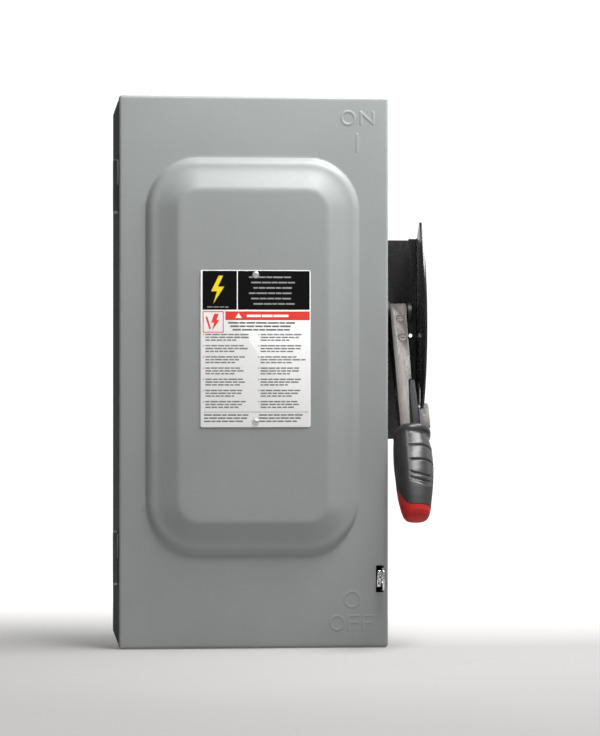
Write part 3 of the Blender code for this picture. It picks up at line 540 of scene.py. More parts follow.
def cover_mesh():
    """Outer skin: a grid for the face, a rolled edge along each side and a round patch at each corner."""
    xs, zs = cover_grid()
    bm = bmesh.new()
    rows = [[bm.verts.new((x, COVER_PLANE - pan_height(pan_inset(x, z)) - emboss(x, z), z)) for x in xs]
            for z in zs]
    for j in range(len(zs) - 1):
        for i in range(len(xs) - 1):
            if not in_slot((xs[i] + xs[i + 1]) / 2, (zs[j] + zs[j + 1]) / 2):
                bm.faces.new((rows[j][i], rows[j][i + 1], rows[j + 1][i + 1], rows[j + 1][i]))
    loop = ([(v, 0, -1) for v in rows[0]] + [(row[-1], 1, 0) for row in rows]
            + [(v, 0, 1) for v in reversed(rows[-1])] + [(row[0], -1, 0) for row in reversed(rows)])
    around = []
    for k, (vert, out_x, out_z) in enumerate(loop):
        around.append((vert, out_x, out_z))
        after = loop[(k + 1) % len(loop)]
        if after[0] is vert:
            start, end = math.atan2(out_z, out_x), math.atan2(after[2], after[1])
            sweep = (end - start + math.pi) % math.tau - math.pi
            angles = [start + sweep * t / CORNER_TURNS for t in range(1, CORNER_TURNS)]
            around += [(vert, math.cos(a), math.sin(a)) for a in angles]
    last = [vert for vert, _, _ in around]
    for step in range(1, BEND_STEPS + 2):
        ring = [bm.verts.new(bend_point(vert.co.x, vert.co.z, a, b, step)) for vert, a, b in around]
        for k in range(len(ring)):
            after = (k + 1) % len(ring)
            corners = [last[k], last[after], ring[after], ring[k]]
            if corners[0] is corners[1]:
                corners.pop(1)
            bm.faces.new(corners)
        last = ring
    return bm


def make_cover():
    """Drawn sheet cover; the faces that look to the left take the darker grey of painted shade."""
    cover = to_object("front_cover_fine", cover_mesh())
    if cover.data.polygons[0].normal.y > 0:
        cover.data.flip_normals()
    wall = cover.modifiers.new("sheet", "SOLIDIFY")
    wall.thickness = SHEET
    wall.offset = -1.0
    settle(cover)
    finish_piece(cover, GREY, "cover", "grey_enamel", "front_cover")
    # the faces that look to the left get the darker grey: painted shade
    cover.data.materials.append(GREY_PAINTED_SHADE)
    for face in cover.data.polygons:
        face.material_index = int(face.normal.x < LEFT_FACING)


# ---- label ----

LABEL_LOW, LABEL_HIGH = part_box("front_label")
LABEL_WIDTH, LABEL_HEIGHT = LABEL_HIGH.x - LABEL_LOW.x, LABEL_HIGH.z - LABEL_LOW.z
INK = 0.04 * MM
LABEL_FRONT = LABEL_LOW.y + 0.1 * MM
WORD_GAP = 0.008              # shares of the label's width
WORD_SHORTEST = 0.004


def label_point(u, v):
    """A place on the label from shares of its width and height, from its top left corner."""
    return (LABEL_LOW.x + LABEL_WIDTH * u, LABEL_HIGH.z - LABEL_HEIGHT * v)


def print_shapes(name, shapes, material, layer=0):
    """Flat printed shapes, each an outline of label shares; layer 1 is print over print."""
    bm = bmesh.new()
    face = LABEL_FRONT - layer * INK
    for shape in shapes:
        film = prism([label_point(u, v) for u, v in shape], "Y", face - INK, face + INK)
        mesh = bpy.data.meshes.new("film")
        film.to_mesh(mesh)
        film.free()
        bm.from_mesh(mesh)
        bpy.data.meshes.remove(mesh)
    piece = to_object(name, bm)
    finish_piece(piece, material, "cover", "label_print")


def bar(u0, v0, u1, v1):
    """Outline of a printed rectangle."""
    return [(u0, v1), (u1, v1), (u1, v0), (u0, v0)]


def uneven(seed, k):
    """A fixed number from 0 to 1 that looks random from one k to the next."""
    return math.fmod(abs(math.sin(seed * 12.9898 + k * 78.233)) * 43758.5453, 1.0)


def text_bars(u0, u1, v, height, words, seed):
    """A generic line of print: short bars of uneven length with gaps between."""
    shapes, start = [], u0
    for k in range(words):
        length = (u1 - u0) / words * (0.6 + 0.8 * uneven(seed, k)) * 0.78
        end = min(start + length, u1)
        if end - start > WORD_SHORTEST:
            shapes.append(bar(start, v, end, v + height))
        start = end + WORD_GAP
        if start > u1:
            break
    return shapes


def make_label():
    """White film with a black header, a red band, a pictogram and lines of generic print."""
    outline = rounded_box(centre_xz(LABEL_LOW, LABEL_HIGH), (LABEL_WIDTH / 2, LABEL_HEIGHT / 2), 1.2 * MM)
    plate = to_object("label_plate_fine", prism(outline, "Y", LABEL_FRONT, LABEL_HIGH.y))
    soften(plate, 0.08 * MM)
    finish_piece(plate, FILM_WHITE, "cover", "label_print", "front_label")
    header = [bar(0.018, 0.004, 0.330, 0.252), bar(0.338, 0.004, 0.992, 0.252)]
    print_shapes("label_header", header, INK_BLACK)
    bolt = [(0.165, 0.035), (0.095, 0.135), (0.150, 0.135), (0.115, 0.215), (0.215, 0.105), (0.158, 0.105),
            (0.205, 0.035)]
    signal = [(0.315, 0.305), (0.345, 0.272), (0.375, 0.305)]
    print_shapes("label_bolt", [bolt[::-1]], INK_YELLOW, 1)
    print_shapes("label_header_lines", header_lines(), INK_PALE, 1)
    band = [bar(0.225, 0.262, 0.992, 0.318)] + frame_bars(0.020, 0.262, 0.210, 0.398, 0.008)
    print_shapes("label_red", band, INK_RED)
    print_shapes("label_band_mark", [signal] + text_bars(0.42, 0.93, 0.283, 0.016, 3, 5), FILM_WHITE, 1)
    print_shapes("label_pictogram", pictogram(), INK_RED)
    print_shapes("label_text", body_lines(), INK_GREY)


def frame_bars(u0, v0, u1, v1, width):
    """Four bars round a printed square, all equally thick."""
    high = width * LABEL_WIDTH / LABEL_HEIGHT
    return [bar(u0, v0, u1, v0 + high), bar(u0, v1 - high, u1, v1),
            bar(u0, v0 + high, u0 + width, v1 - high), bar(u1 - width, v0 + high, u1, v1 - high)]


def header_lines():
    """Centred lines in the header, and one under the bolt."""
    shapes = []
    for k in range(6):
        v = 0.040 + 0.034 * k
        inset = 0.02 * (k % 3)
        shapes += text_bars(0.44 + inset, 0.94 - inset, v, 0.009, 5, 11 + k)
    return shapes + text_bars(0.060, 0.300, 0.232, 0.006, 4, 3)


def pictogram():
    """A plain bolt striking down beside a leaning bar."""
    bolt = [(0.125, 0.278), (0.165, 0.278), (0.145, 0.318), (0.172, 0.318), (0.105, 0.385), (0.122, 0.335),
            (0.095, 0.335)]
    leaning = [(0.045, 0.300), (0.060, 0.294), (0.095, 0.372), (0.080, 0.378)]
    return [bolt[::-1], leaning[::-1]]


def body_lines():
    """Three centred lines, two columns of four-line paragraphs and three lines at the foot."""
    shapes = []
    for k in range(3):
        shapes += text_bars(0.25 + 0.02 * k, 0.95 - 0.02 * k, 0.330 + 0.022 * k, 0.011, 7, 20 + k)
    for side, (u0, u1) in enumerate(((0.045, 0.480), (0.545, 0.975))):
        for k in range(27):
            v = 0.406 + 0.0178 * k
            end = u1 - 0.10 * (k % 4 == 2) - 0.03 * ((k * 7 + side * 3) % 5) / 4
            if k % 4 == 0:
                shapes.append(bar(u0 - 0.022, v + 0.001, u0 - 0.012, v + 0.008))
            if k % 4 != 3:
                shapes += text_bars(u0, end, v, 0.0085, 6, 40 + k + side * 31)
    shapes.append(bar(0.030, 0.902, 0.980, 0.905))
    for k in range(3):
        for side, (u0, u1) in enumerate(((0.030, 0.480), (0.530, 0.980))):
            shapes += text_bars(u0, u1, 0.918 + 0.020 * k, 0.009, 6, 90 + k + side * 7)
    return shapes


def make_rivet(node):
    """Blind rivet: a shallow dome with its broken mandrel sunk in the middle."""
    low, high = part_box(node)
    x, z = centre_xz(low, high)
    head = (high.x - low.x) / 2
    seat = LABEL_FRONT - 2 * INK
    # (rise in mm, share of the head's radius), from the hole in the middle outwards
    dome = ((0.10, 0.28), (0.35, 0.32), (1.05, 0.38), (1.15, 0.50), (1.05, 0.70), (0.75, 0.88), (0.35, 0.98))
    profile = [(seat - rise * MM, head * share) for rise, share in dome]
    profile += [(seat, head), (seat, head * 0.5), (high.y, head * 0.5)]
    piece = settle(to_object(f"{node}_fine", turned("Y", x, z, profile)), ROUND_ANGLE)
    finish_piece(piece, ALUMINIUM, "cover", "lug_aluminium", node)


# ---- box ----

# knockouts of an end wall: (x, y, radii), mm
KNOCKOUTS = ((0.0, -75.0, (14.0, 17.5, 22.0)), (-62.0, -60.0, (11.0, 14.0)), (62.0, -60.0, (11.0, 14.0)))
GROOVE_WIDTH = 0.45 * MM
KNOCKOUT_DEPTH = 0.7 * MM
TIES = 2
TIE_WIDTH = 2.0 * MM


def knockout_groove(x, y, radius, low, high):
    """Cutters for a round knockout's shear line, in arcs with the ties left between."""
    tie = TIE_WIDTH / radius
    outer = radius + GROOVE_WIDTH
    steps = 22
    for t in range(TIES):
        start = math.tau * t / TIES + tie / 2
        end = math.tau * (t + 1) / TIES - tie / 2
        angles = [start + (end - start) * k / steps for k in range(steps + 1)]
        outline = [(x + outer * math.cos(a), y + outer * math.sin(a)) for a in angles]
        outline += [(x + radius * math.cos(a), y + radius * math.sin(a)) for a in reversed(angles)]
        yield prism(outline, "Z", low, high)


def make_end_wall(node, side):
    """Top or bottom wall with concentric knockouts."""
    low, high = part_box(node)
    face = high.z if side > 0 else low.z
    piece = cad_copy(node)
    span = sorted((face + side * PAST, face - side * KNOCKOUT_DEPTH))
    for x, y, radii in KNOCKOUTS:
        for radius in radii:
            for groove in knockout_groove(x * MM, y * MM, radius * MM, *span):
                cut(piece, groove)
    soften(piece, 0.12 * MM, 1)
    finish_piece(piece, GREY, "root", "grey_enamel", node)


# ---- handle bracket ----

BRACKET_LOW, BRACKET_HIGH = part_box("handle_bracket")
BRACKET_SHEET = 2.0 * MM
WEB_FRONT, WEB_BACK = BRACKET_HIGH.y - BRACKET_SHEET, BRACKET_HIGH.y
WEB_Z = (-56.0 * MM, 111.2 * MM)
FLANGE_FRONT, FLANGE_Z = -92.0 * MM, (-32.0 * MM, 90.0 * MM)
PIVOT = Vector((0.0, -72.0 * MM, 50.0 * MM))
LEAN = math.radians(-35.0)    # the handle's turn from hanging straight down to OFF
GUARD_CENTRE = (14.0 * MM, 39.0 * MM)
GUARD_RADIUS = 120.7 * MM
GUARD_HALF = math.radians(45.8)
GUARD_BACK_Z = (-50.0 * MM, WEB_Z[1] - 2.0 * MM)
WEB_HOLE = (139.5 * MM, 31.0 * MM, 1.6 * MM)      # x, z, radius


def bracket_profile():
    """Plan of the folded channel: inner flange, web and outer guard with rounded bends."""
    x0, x1, t = BRACKET_LOW.x, BRACKET_HIGH.x, BRACKET_SHEET
    front = BRACKET_LOW.y - PAST
    outer, inner = 3.0 * MM, 1.0 * MM
    return rounded([(x0, front, 0), (x0, WEB_BACK, outer), (x1, WEB_BACK, outer), (x1, front, 0),
                    (x1 - t, front, 0), (x1 - t, WEB_FRONT, inner), (x0 + t, WEB_FRONT, inner),
                    (x0 + t, front, 0)])


def guard_outline():
    """Side view of the guard: straight at the back, one bow from top to bottom at the front."""
    steps = 40
    (y, z) = GUARD_CENTRE
    bow = [(y - GUARD_RADIUS * math.cos(a), z + GUARD_RADIUS * math.sin(a))
           for a in (GUARD_HALF - 2 * GUARD_HALF * k / steps for k in range(steps + 1))]
    return [(WEB_BACK + PAST, GUARD_BACK_Z[1])] + bow + [(WEB_BACK + PAST, GUARD_BACK_Z[0])]


def make_bracket():
    """A folded channel, kept only where the web, the guard and the inner flange are."""
    z0, z1 = BRACKET_LOW.z, BRACKET_HIGH.z
    bracket = to_object("handle_bracket_fine", prism(bracket_profile(), "Z", z0 - PAST, z1 + PAST))
    split = BRACKET_HIGH.x - 8.0 * MM
    web = block((BRACKET_LOW.x - PAST, WEB_FRONT - 3 * MM, WEB_Z[0]), (split, WEB_BACK + PAST, WEB_Z[1]))
    back = WEB_BACK + PAST / 2
    flange = rounded([(FLANGE_FRONT, FLANGE_Z[0], 10 * MM), (back, FLANGE_Z[0], 0),
                      (back, FLANGE_Z[1], 0), (FLANGE_FRONT, FLANGE_Z[1], 10 * MM)])
    keep = to_object("keep", web)
    join(keep, prism(guard_outline(), "X", split - PAST / 2, BRACKET_HIGH.x + PAST))
    join(keep, prism(flange, "X", BRACKET_LOW.x - PAST / 2, BRACKET_LOW.x + 3 * MM))
    combine(bracket, from_object(keep), "INTERSECT")
    lock_hole = rounded_box((-68.0 * MM, -20.0 * MM), (8.0 * MM, 12.0 * MM), 7.8 * MM, 10)
    cut(bracket, prism(lock_hole, "X", BRACKET_HIGH.x - 4 * MM, BRACKET_HIGH.x + PAST))
    cut(bracket, rod("X", PIVOT.y, PIVOT.z, 9.5 * MM, BRACKET_LOW.x - PAST, BRACKET_LOW.x + 4 * MM))
    cut(bracket, rod("Y", *WEB_HOLE, WEB_FRONT - PAST, WEB_BACK + PAST, 20))
    soften(bracket, 0.35 * MM, 2)
    finish_piece(bracket, BLACK, "root", "black_enamel", "handle_bracket")


# ---- handle ----

ARM_LEFT = 118.8 * MM
ARM_FACE = -10.0 * MM
ARM_SHEET = 2.0 * MM
ARM_TOP = 12.0 * MM
ARM_END = -150.0 * MM
ARM_END_RIGHT = 126.6 * MM
RIGHT_FLANGE = 129.2 * MM
STAMPS = ((126.2, -13.5, 3.4), (126.6, -33.0, 3.8))      # (x, z, radius), mm
STAMP_DEPTH = 0.25 * MM


def arm_side(end):
    """Side view of one of the arm's flanges, from its top down to its end."""
    return rounded([(ARM_FACE, ARM_TOP, 10 * MM), (11.0 * MM, ARM_TOP, 10 * MM),
                    (11.0 * MM, -28.0 * MM, 12 * MM), (4.0 * MM, end, 2 * MM), (ARM_FACE, end, 0)], 8)


def make_arm():
    """Folded arm: tapering front strip, wider round the shaft, with a flange along each side."""
    face = rounded([(ARM_LEFT, ARM_TOP, 0), (133.0 * MM, ARM_TOP, 0), (131.8 * MM, -20.0 * MM, 20 * MM),
                    (131.3 * MM, -74.4 * MM, 0.6 * MM), (128.8 * MM, -75.4 * MM, 0.6 * MM),
                    (ARM_END_RIGHT, -118.0 * MM, 20 * MM), (ARM_END_RIGHT, ARM_END, 0),
                    (ARM_LEFT, ARM_END, 0)])
    arm = to_object("handle_arm_fine", prism(face, "Y", ARM_FACE, ARM_FACE + ARM_SHEET))
    join(arm, prism(arm_side(-118.0 * MM), "X", ARM_LEFT, ARM_LEFT + ARM_SHEET))
    join(arm, prism(arm_side(-55.0 * MM), "X", RIGHT_FLANGE, RIGHT_FLANGE + ARM_SHEET))
    cut(arm, rod("X", 0.0, 0.0, 6.3 * MM, ARM_LEFT - PAST, 134.5 * MM))
    crown = to_object("crown", block((ARM_LEFT - PAST, -30 * MM, 7.3 * MM), (145 * MM, 30 * MM, 40 * MM)))
    crown.data.transform(Matrix.Rotation(-LEAN, 4, "X"))
    cut(arm, from_object(crown))
    for x, z, radius in STAMPS:
        stamp(arm, x * MM, z * MM, radius * MM)
    soften(arm, 0.4 * MM, 2)
    lean(arm, PIVOT, LEAN)
    finish_piece(arm, GALVANISED, "handle", "zinc_steel", "handle_arm")


def stamp(arm, x, z, radius):
    """A ring and a bar struck into the arm's face."""
    front, back = ARM_FACE - PAST, ARM_FACE + STAMP_DEPTH
    ring = to_object("ring", rod("Y", x, z, radius, front, back))
    cut(ring, rod("Y", x, z, radius - 0.5 * MM, front - PAST, back + PAST))
    cut(arm, from_object(ring))
    cut(arm, block((x - radius / 2, front, z - 0.3 * MM), (x + radius / 2, back, z + 0.3 * MM)))


def lock_piece(name, corners, front):
    """A flat piece of the lock plate from (x, z, radius) corners and its front face, mm."""
    outline = rounded([(x * MM, z * MM, radius * MM) for x, z, radius in corners[::-1]], 5)
    return to_object(name, prism(outline, "Y", front * MM, -3.0 * MM))


def make_lock_plate():
    """Sliding strip with a lip in near-black steel, its colour a painted shade, and its plated tab that steps
    up at the outer end.
    """
    strip = lock_piece("lock_plate_fine", ((124.0, -71.6, 1.0), (134.6, -71.6, 2.5), (135.4, -99.0, 1.0),
                                           (135.6, -119.0, 0.0), (124.0, -119.0, 0.0)), -5.0)
    left, right, foot, top = 129.4 * MM, 131.0 * MM, -118.0 * MM, -73.0 * MM
    lip = rounded([(left, foot, 0), (right, foot, 0), (right, top, 0.4 * MM), (left, top, 0.4 * MM)])
    join(strip, prism(lip, "Y", -6.2 * MM, -4.0 * MM))
    tab = lock_piece("lock_plate_tab", ((135.7, -101.4, 0.6), (139.2, -100.6, 1.2), (140.4, -95.6, 1.0),
                                        (143.2, -95.4, 1.2), (144.0, -99.0, 1.0), (144.0, -119.0, 1.0),
                                        (135.7, -119.0, 0.0)), -5.2)
    # the strip's near-black steel is painted shade; the tab keeps the galvanised metal
    for plate, material, nodes in ((strip, STEEL_PAINTED_SHADE, ["lock_plate"]), (tab, GALVANISED, [])):
        soften(plate, 0.3 * MM)
        lean(plate, PIVOT, LEAN)
        finish_piece(plate, material, "lock_plate", "zinc_steel", *nodes)


GRIP_TOP = 121.0 * MM
GRIP_END = 204.3 * MM
# stations down the grip: (distance below the shaft, centre X, half width, half depth), mm
GRIP_STATIONS = (
    (121.0, 129.0, 12.6, 13.0), (121.3, 129.0, 13.9, 14.4), (122.2, 129.0, 14.8, 15.3),
    (124.0, 129.0, 15.2, 15.7), (126.0, 128.8, 15.0, 15.5), (128.0, 128.2, 14.4, 14.8),
    (130.5, 127.8, 14.3, 14.5), (134.0, 127.9, 14.8, 14.8), (140.0, 128.2, 15.5, 15.2),
    (149.0, 128.1, 15.8, 15.5), (158.0, 128.1, 15.7, 15.5), (166.0, 127.9, 15.2, 15.2),
    (174.0, 127.5, 14.7, 14.6), (182.0, 127.1, 13.9, 13.6), (189.0, 126.9, 12.9, 12.4),
    (196.0, 126.9, 11.8, 10.9), (200.5, 126.8, 10.6, 9.2), (203.2, 126.7, 9.0, 7.2),
    (204.1, 126.7, 7.4, 5.6), (204.3, 126.7, 6.2, 4.6))
# on each side of the seam: where a part ends, where its full width starts, how far its end is drawn in
SEAM_GAP, SEAM_EDGE, SEAM_STEP = 0.10 * MM, 0.15 * MM, 0.5 * MM
STRAIGHT_GROOVES, CURVED_GROOVES = (142.6, 156.5), (167.5, 172.5)      # distances below the shaft, mm
PLASTIC_ANGLE = math.radians(48.0)
GRIP_SIDES = 96
GROOVE_DEPTH = 0.9 * MM
INSET_SINK = 0.35 * MM
COLLAR_FOOT = 126.5 * MM
INSET_TURN, INSET_HALF = math.radians(-62.0), math.radians(46.0)
INSET_TOP, INSET_FOOT = 127.6 * MM, 180.5 * MM


def between(stations, s):
    """The stations' values at distance s, in a straight line from each to the next."""
    for (s0, *a), (s1, *b) in zip(stations, stations[1:]):
        if s <= s1:
            share = max(0.0, (s - s0) / (s1 - s0))
            return [(p + (q - p) * share) * MM for p, q in zip(a, b)]
    return [p * MM for p in stations[-1][1:]]


def grip_point(s, turn, shrink=0.0):
    """A point on the grip's skin; turn 0 is +X and -90 degrees the front."""
    centre, half_x, half_y = between(GRIP_STATIONS, s / MM)
    c, n = math.cos(turn), math.sin(turn)
    power = 2.0 / 2.4
    x, y = math.copysign(abs(c) ** power, c), math.copysign(abs(n) ** power, n)
    inward = shrink + inset_depth(s, turn)
    return (centre + (half_x - inward) * x, (half_y - inward) * y, -s)


def inset_reach(s, turn):
    """How far a point lies inside the polished finger panel: over 1 well inside, below 0 outside."""
    aside = abs((turn - INSET_TURN + math.pi) % math.tau - math.pi) / INSET_HALF
    foot = INSET_FOOT - 4.0 * MM * aside * aside
    return min((1.0 - aside) * 10.0, (s - INSET_TOP) / (1.2 * MM), (foot - s) / (1.2 * MM))


def inset_depth(s, turn):
    """The panel lies a little below the grip's skin, with two straight grooves and two curved ones."""
    aside = ((turn - INSET_TURN + math.pi) % math.tau - math.pi) / INSET_HALF
    bow = 3.5 * MM * (1.0 - aside * aside)
    near = min([abs(s - place * MM) for place in STRAIGHT_GROOVES]
               + [abs(s - place * MM - bow) for place in CURVED_GROOVES])
    return ease(inset_reach(s, turn)) * (INSET_SINK + GROOVE_DEPTH * math.exp(-(near / (0.75 * MM)) ** 2))


def seam(turn):
    """Where the red end starts: level across the front, climbing on the side that faces the box."""
    left = math.exp(-((turn % math.tau - math.pi) / 0.62) ** 2)
    return 196.4 * MM - 19.0 * MM * left


def is_polished(point):
    """Whether a place on the grip, before it is leaned, lies in the finger panel or on the collar."""
    centre, half_x, half_y = between(GRIP_STATIONS, -point.z / MM)
    turn = math.atan2(point.y / half_y, (point.x - centre) / half_x)
    return inset_reach(-point.z, turn) > 0.5 or -point.z < COLLAR_FOOT


def make_grip():
    """Black grip, with its finger panel, over the arm's end, and the red cap below the seam."""
    turns = [math.tau * i / GRIP_SIDES for i in range(GRIP_SIDES)]
    steps = 190
    rings = []
    for k in range(steps + 1):
        share = k / steps
        rings.append([grip_point(GRIP_TOP + (seam(t) - SEAM_EDGE - GRIP_TOP) * share, t) for t in turns])
    rings.append([grip_point(seam(t) - SEAM_GAP, t, SEAM_STEP) for t in turns])
    grip = to_object("handle_grip_fine", loft(rings))
    loose = 0.3 * MM
    cut(grip, block((ARM_LEFT - loose, ARM_FACE - loose, ARM_END - loose),
                    (ARM_END_RIGHT + loose, ARM_FACE + ARM_SHEET + loose, -GRIP_TOP + PAST)))
    settle(grip, PLASTIC_ANGLE)
    gloss = [is_polished(face.center) for face in grip.data.polygons]
    lean(grip, PIVOT, LEAN)
    finish_piece(grip, GRIP_BLACK, "handle", "grip_black", "handle_grip")
    grip.data.materials.append(GRIP_GLOSS)
    for face, polished in zip(grip.data.polygons, gloss):
        face.material_index = int(polished)
    steps = 26
    rings = [[grip_point(seam(t) + SEAM_GAP, t, SEAM_STEP) for t in turns]]
    for k in range(steps + 1):
        tops = [seam(t) + SEAM_EDGE for t in turns]
        rings.append([grip_point(top + (GRIP_END - top) * k / steps, t) for top, t in zip(tops, turns)])
    cap = settle(to_object("grip_end_cap_fine", loft(rings)), PLASTIC_ANGLE)
    lean(cap, PIVOT, LEAN)
    finish_piece(cap, GRIP_RED, "handle", "grip_red", "grip_end_cap")


def make_shaft():
    """Pivot shaft with a wider, domed head outside the arm."""
    low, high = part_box("operating_shaft")
    r, head = 6.0 * MM, 8.5 * MM
    seat = 133.8 * MM
    profile = [(low.x, r - 0.6 * MM), (low.x + 0.6 * MM, r), (seat, r), (seat, head - 0.3 * MM),
               (seat + 0.3 * MM, head), (high.x - 1.4 * MM, head), (high.x - 0.5 * MM, head - 0.7 * MM),
               (high.x, head - 2.2 * MM)]
    shaft = settle(to_object("operating_shaft_fine", turned("X", PIVOT.y, PIVOT.z, profile, 48)))
    # the arm's dark galvanised metal on the shaft is partly its own metal, partly painted shade for its place
    # between the arm and the guard
    finish_piece(shaft, GALVANISED, "handle", "zinc_steel", "operating_shaft")


# ---- latch ----

LATCH_PIVOT = (-143.5 * MM, -170.0 * MM)


def make_latch():
    """Hook plate with a broad thumb tab that comes through the slot."""
    refined("cover_latch", 0.25 * MM, CHROME, "latch", "chrome_steel")
    y, z = LATCH_PIVOT
    corners = ((-15.8, 8.0, 0.8), (-14.6, 10.6, 0.8), (-7.6, 5.8, 1.0), (-6.6, -3.4, 2.0), (-8.2, -3.6, 0.4),
               (-8.8, 3.6, 1.0))
    tab = rounded([(y + out * MM, z + up * MM, radius * MM) for out, up, radius in corners])
    thumb = to_object("latch_thumb_tab", prism(tab, "X", 99.5 * MM, 102.4 * MM))
    cut(thumb, rod("Y", 101.0 * MM, z - 0.6 * MM, 0.75 * MM, y - 12 * MM, y - 4 * MM, 20))
    soften(thumb, 0.3 * MM, 2)
    finish_piece(thumb, CHROME, "latch", "chrome_steel")
    refined("latch_staple", 0.3 * MM, CHROME, "root", "chrome_steel")
    refined("latch_bracket", 0.25 * MM, ZINC, "cover", "zinc_steel")
    refined("latch_pin", 0.2 * MM, ZINC, "cover", "zinc_steel")


# ---- switch inside ----

STRAP_FRONT = -22.8 * MM
STRAP_SCREWS_Z = (147.0 * MM, -5.0 * MM)
SCREW_SINK = 0.05 * MM


def screw(name, x, z, seat, radius, height):
    """Slotted screw head facing the cover: a low dome with a driver slot."""
    profile = [(seat, radius), (seat - height * 0.55, radius), (seat - height * 0.85, radius * 0.86),
               (seat - height, radius * 0.6)]
    piece = to_object(name, turned("Y", x, z, profile, 28))
    half = 0.09 * radius + 0.25 * MM
    long = radius * 1.2
    cut(piece, block((x - long, seat - height - PAST, z - half), (x + long, seat - height * 0.45, z + half)))
    soften(piece, 0.12 * MM, 1)
    finish_piece(piece, ZINC, "root", "zinc_steel")


def make_switch():
    """Everything behind the cover: bases, rotor, mechanism, ground bar and three poles."""
    for node in ("switch_base", "fuse_base"):
        refined(node, 0.6 * MM, PHENOLIC, "root", "phenolic")
    refined("crossbar", 1.2 * MM, PHENOLIC, "rotor", "phenolic", 3)
    refined("rotor_arm", 0.3 * MM, ZINC, "rotor", "zinc_steel")
    refined("mechanism_plate", 0.3 * MM, ZINC, "root", "zinc_steel")
    refined("rotor_pin", 0.5 * MM, ZINC, "root", "zinc_steel")
    refined("ground_bar", 0.5 * MM, ALUMINIUM, "root", "lug_aluminium")
    refined("drive_crank", 0.3 * MM, ZINC, "handle", "zinc_steel")
    refined("shaft_bushing", 0.4 * MM, GRIP_BLACK, "root", "grip_black")
    for number in (1, 2, 3):
        make_pole(number)
    low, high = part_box("ground_bar")
    for k in range(4):
        z = low.z + (high.z - low.z) * (k + 0.5) / 4
        screw(f"ground_screw_{k + 1}", (low.x + high.x) / 2, z, low.y, 3.6 * MM, 2.2 * MM)


def make_pole(number):
    """One pole's jaw, clips, blade, arc chute, lugs and screws."""
    for part, edge in (("line_jaw", 0.25), ("blade_hinge_clip", 0.25), ("upper_fuse_clip", 0.3),
                       ("lower_fuse_clip", 0.3)):
        refined(f"{part}_{number}", edge * MM, COPPER, "root", "tinned_copper")
    refined(f"knife_blade_{number}", 0.4 * MM, COPPER, "rotor", "tinned_copper")
    refined(f"arc_chute_{number}", 0.6 * MM, ARC_GREY, "root", "arc_grey")
    for end in ("line", "load"):
        node = f"{end}_lug_{number}"
        refined(node, 0.5 * MM, ALUMINIUM, "root", "lug_aluminium")
        low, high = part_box(node)
        screw(f"{node}_screw", *centre_xz(low, high), low.y - SCREW_SINK, 5.2 * MM, 3.0 * MM)
    x, _ = centre_xz(*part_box(f"line_jaw_{number}"))
    for k, z in enumerate(STRAP_SCREWS_Z):
        screw(f"strap_screw_{number}_{k + 1}", x, z, STRAP_FRONT - SCREW_SINK, 3.2 * MM, 1.8 * MM)


def make_small_parts():
    """The box's folded sheet, the hinges and the bracket's bolts."""
    # the box's folded sheet and the hinge leaves take the darker grey, whose colour paints the shade on the
    # box's left side
    refined("enclosure_wrapper", 0.3 * MM, GREY_PAINTED_SHADE, "root", "grey_enamel")
    for place in ("upper", "lower"):
        refined(f"box_hinge_leaf_{place}", 0.25 * MM, GREY_PAINTED_SHADE, "root", "grey_enamel")
        refined(f"cover_hinge_leaf_{place}", 0.25 * MM, GREY_PAINTED_SHADE, "cover", "grey_enamel")
        refined(f"hinge_pin_{place}", 0.3 * MM, ZINC, "root", "zinc_steel")
        refined(f"bracket_bolt_{place}", 0.3 * MM, ZINC, "root", "zinc_steel")


def make_spring():
    """Torsion spring wound round the shaft."""
    low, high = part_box("drive_spring")
    radius, wire, turns = 8.8 * MM, 0.9 * MM, 3
    curve = bpy.data.curves.new("drive_spring_fine", "CURVE")
    curve.dimensions = "3D"
    curve.bevel_depth = wire
    curve.bevel_resolution = 3
    curve.use_fill_caps = True
    line = curve.splines.new("POLY")
    steps = 40 * turns
    line.points.add(steps)
    for i, point in enumerate(line.points):
        angle = math.tau * turns * i / steps + LEAN
        x = low.x + wire + (high.x - low.x - 2 * wire) * i / steps
        point.co = (x, PIVOT.y + radius * math.cos(angle), PIVOT.z + radius * math.sin(angle), 1.0)
    holder = bpy.data.objects.new("spring_curve", curve)
    bpy.context.collection.objects.link(holder)
    graph = bpy.context.evaluated_depsgraph_get()
    mesh = bpy.data.meshes.new_from_object(holder.evaluated_get(graph))
    spring = bpy.data.objects.new("drive_spring_fine", mesh)
    bpy.data.objects.remove(holder, do_unlink=True)
    bpy.context.collection.objects.link(spring)
    spring.data.shade_smooth()
    finish_piece(spring, ZINC, "handle", "zinc_steel", "drive_spring")


# ---- room, light and camera ----

FLOOR_Z = -0.2228
FLOOR_RADIUS = 3.0
ROOM_RADIUS = 4.6
WALL_TOP = 4.5
PAPER_DARK, PAPER_LIGHT = (0.30, 0.293, 0.288), (0.32, 0.313, 0.308)


def paper():
    """Pale paper that glows faintly: most behind the box, little on the floor near it."""
    r = Recipe("studio_paper", PAPER_DARK, 0.95)
    r.put(specular_ior_level=0.0, base_color=r.shade(r.noise(3.0, 2.0), PAPER_DARK, PAPER_LIGHT))
    reach = r.node("ShaderNodeVectorMath", {0: r.coords}, operation="LENGTH").outputs["Value"]
    split = r.node("ShaderNodeSeparateXYZ", {"Vector": r.coords})
    behind = r.spread(split.outputs["Y"], -0.15, 0.4, 0.14, 1.0)
    aside = r.maths("ABSOLUTE", r.maths("SUBTRACT", split.outputs["X"], 0.45))
    wall = r.maths("MULTIPLY", behind, r.spread(aside, 1.3, 3.2, 1.0, 0.16))
    near = r.spread(reach, 0.35, 1.1, 0.06, 0.26)
    floor = r.maths("MULTIPLY", near, r.spread(reach, 1.6, 2.6, 1.0, 0.1))
    r.put(emission_color=(1.0, 0.995, 0.99, 1.0), emission_strength=r.maths("MAXIMUM", wall, floor))
    return r.material


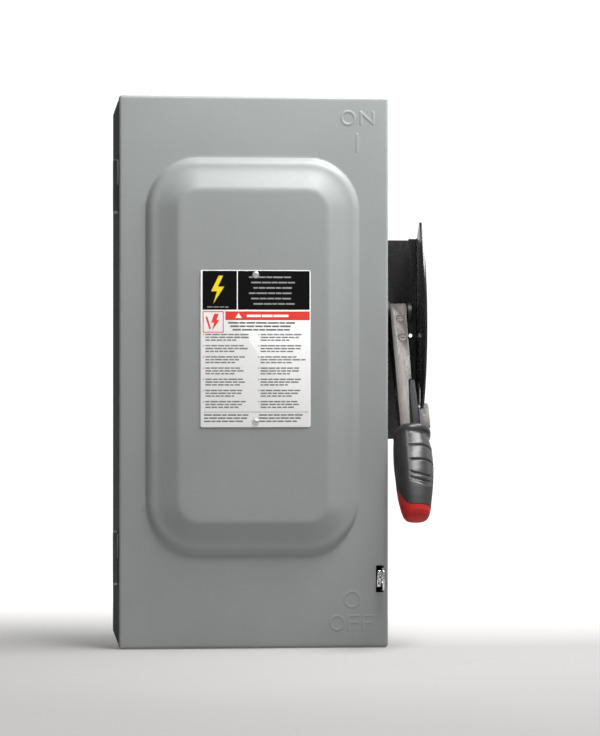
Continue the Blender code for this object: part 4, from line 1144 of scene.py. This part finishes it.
def make_room():
    """Pale floor that curves up into a pale wall all round."""
    bend = ROOM_RADIUS - FLOOR_RADIUS
    angles = [math.pi / 2 * k / 12 for k in range(1, 13)]
    profile = [(r, 0.0) for r in (0.02, 0.4, 1.0, 2.2, FLOOR_RADIUS)]
    profile += [(FLOOR_RADIUS + bend * math.sin(a), bend * (1 - math.cos(a))) for a in angles]
    profile.append((ROOM_RADIUS, WALL_TOP))
    bm = bmesh.new()
    rows = skin(bm, [[(x, y, FLOOR_Z + z) for x, y in circle(0.0, 0.0, r, 96)] for r, z in profile])
    bm.faces.new(rows[0])
    room = to_object("studio_room", bm)
    room.data.shade_smooth()
    room.data.materials.append(paper())


def area(name, place, target, size, power):
    """A soft rectangular light at a place, turned to a target; metres and watts."""
    light = bpy.data.lights.new(name, "AREA")
    light.shape = "RECTANGLE"
    light.size, light.size_y = size
    light.energy = power
    lamp = bpy.data.objects.new(name, light)
    lamp.location = place
    lamp.rotation_euler = (Vector(target) - Vector(place)).to_track_quat("-Z", "Y").to_euler()
    bpy.context.collection.objects.link(lamp)


def make_light():
    """A key from above close to the cover, weak fills from the front, and one from the right."""
    world = bpy.data.worlds.new("studio_air")
    world.use_nodes = True
    air = world.node_tree.nodes["Background"]
    air.inputs["Color"].default_value = (0.95, 0.97, 1.0, 1.0)
    air.inputs["Strength"].default_value = 0.03
    bpy.context.scene.world = world
    bpy.context.scene.view_settings.view_transform = "Standard"
    area("key_above", (0.34, -0.38, 0.78), (0.03, -0.16, 0.10), (0.8, 0.22), 20.5)
    area("fill_front", (1.1, -2.6, 0.8), (0.0, -0.12, 0.0), (1.4, 1.4), 2.0)
    area("fill_left", (-0.85, -2.6, 0.4), (0.10, -0.10, 0.0), (0.6, 0.6), 6.5)
    area("side_right", (1.1, 0.15, 0.6), (0.13, -0.15, 0.0), (0.9, 1.0), 4.5)


def make_camera():
    """The photograph's viewpoint: from the front, a little to the left."""
    place, target = Vector((-0.1869, -2.5506, -0.0090)), Vector((0.0371, -0.150, 0.0032))
    camera = bpy.data.cameras.new("view")
    camera.lens = 146.2
    camera.sensor_width = 36.0
    camera.clip_end = 50.0
    eye = bpy.data.objects.new("view", camera)
    eye.location = place
    eye.rotation_euler = (target - place).to_track_quat("-Z", "Y").to_euler()
    bpy.context.collection.objects.link(eye)
    bpy.context.scene.camera = eye


def make_all():
    make_camera()
    make_cover()
    make_label()
    for node in ("label_rivet_upper", "label_rivet_lower"):
        make_rivet(node)
    make_small_parts()
    make_end_wall("top_end_wall", 1)
    make_end_wall("bottom_end_wall", -1)
    make_bracket()
    make_arm()
    make_lock_plate()
    make_grip()
    make_shaft()
    make_latch()
    make_switch()
    make_spring()
    make_room()
    make_light()


make_all()
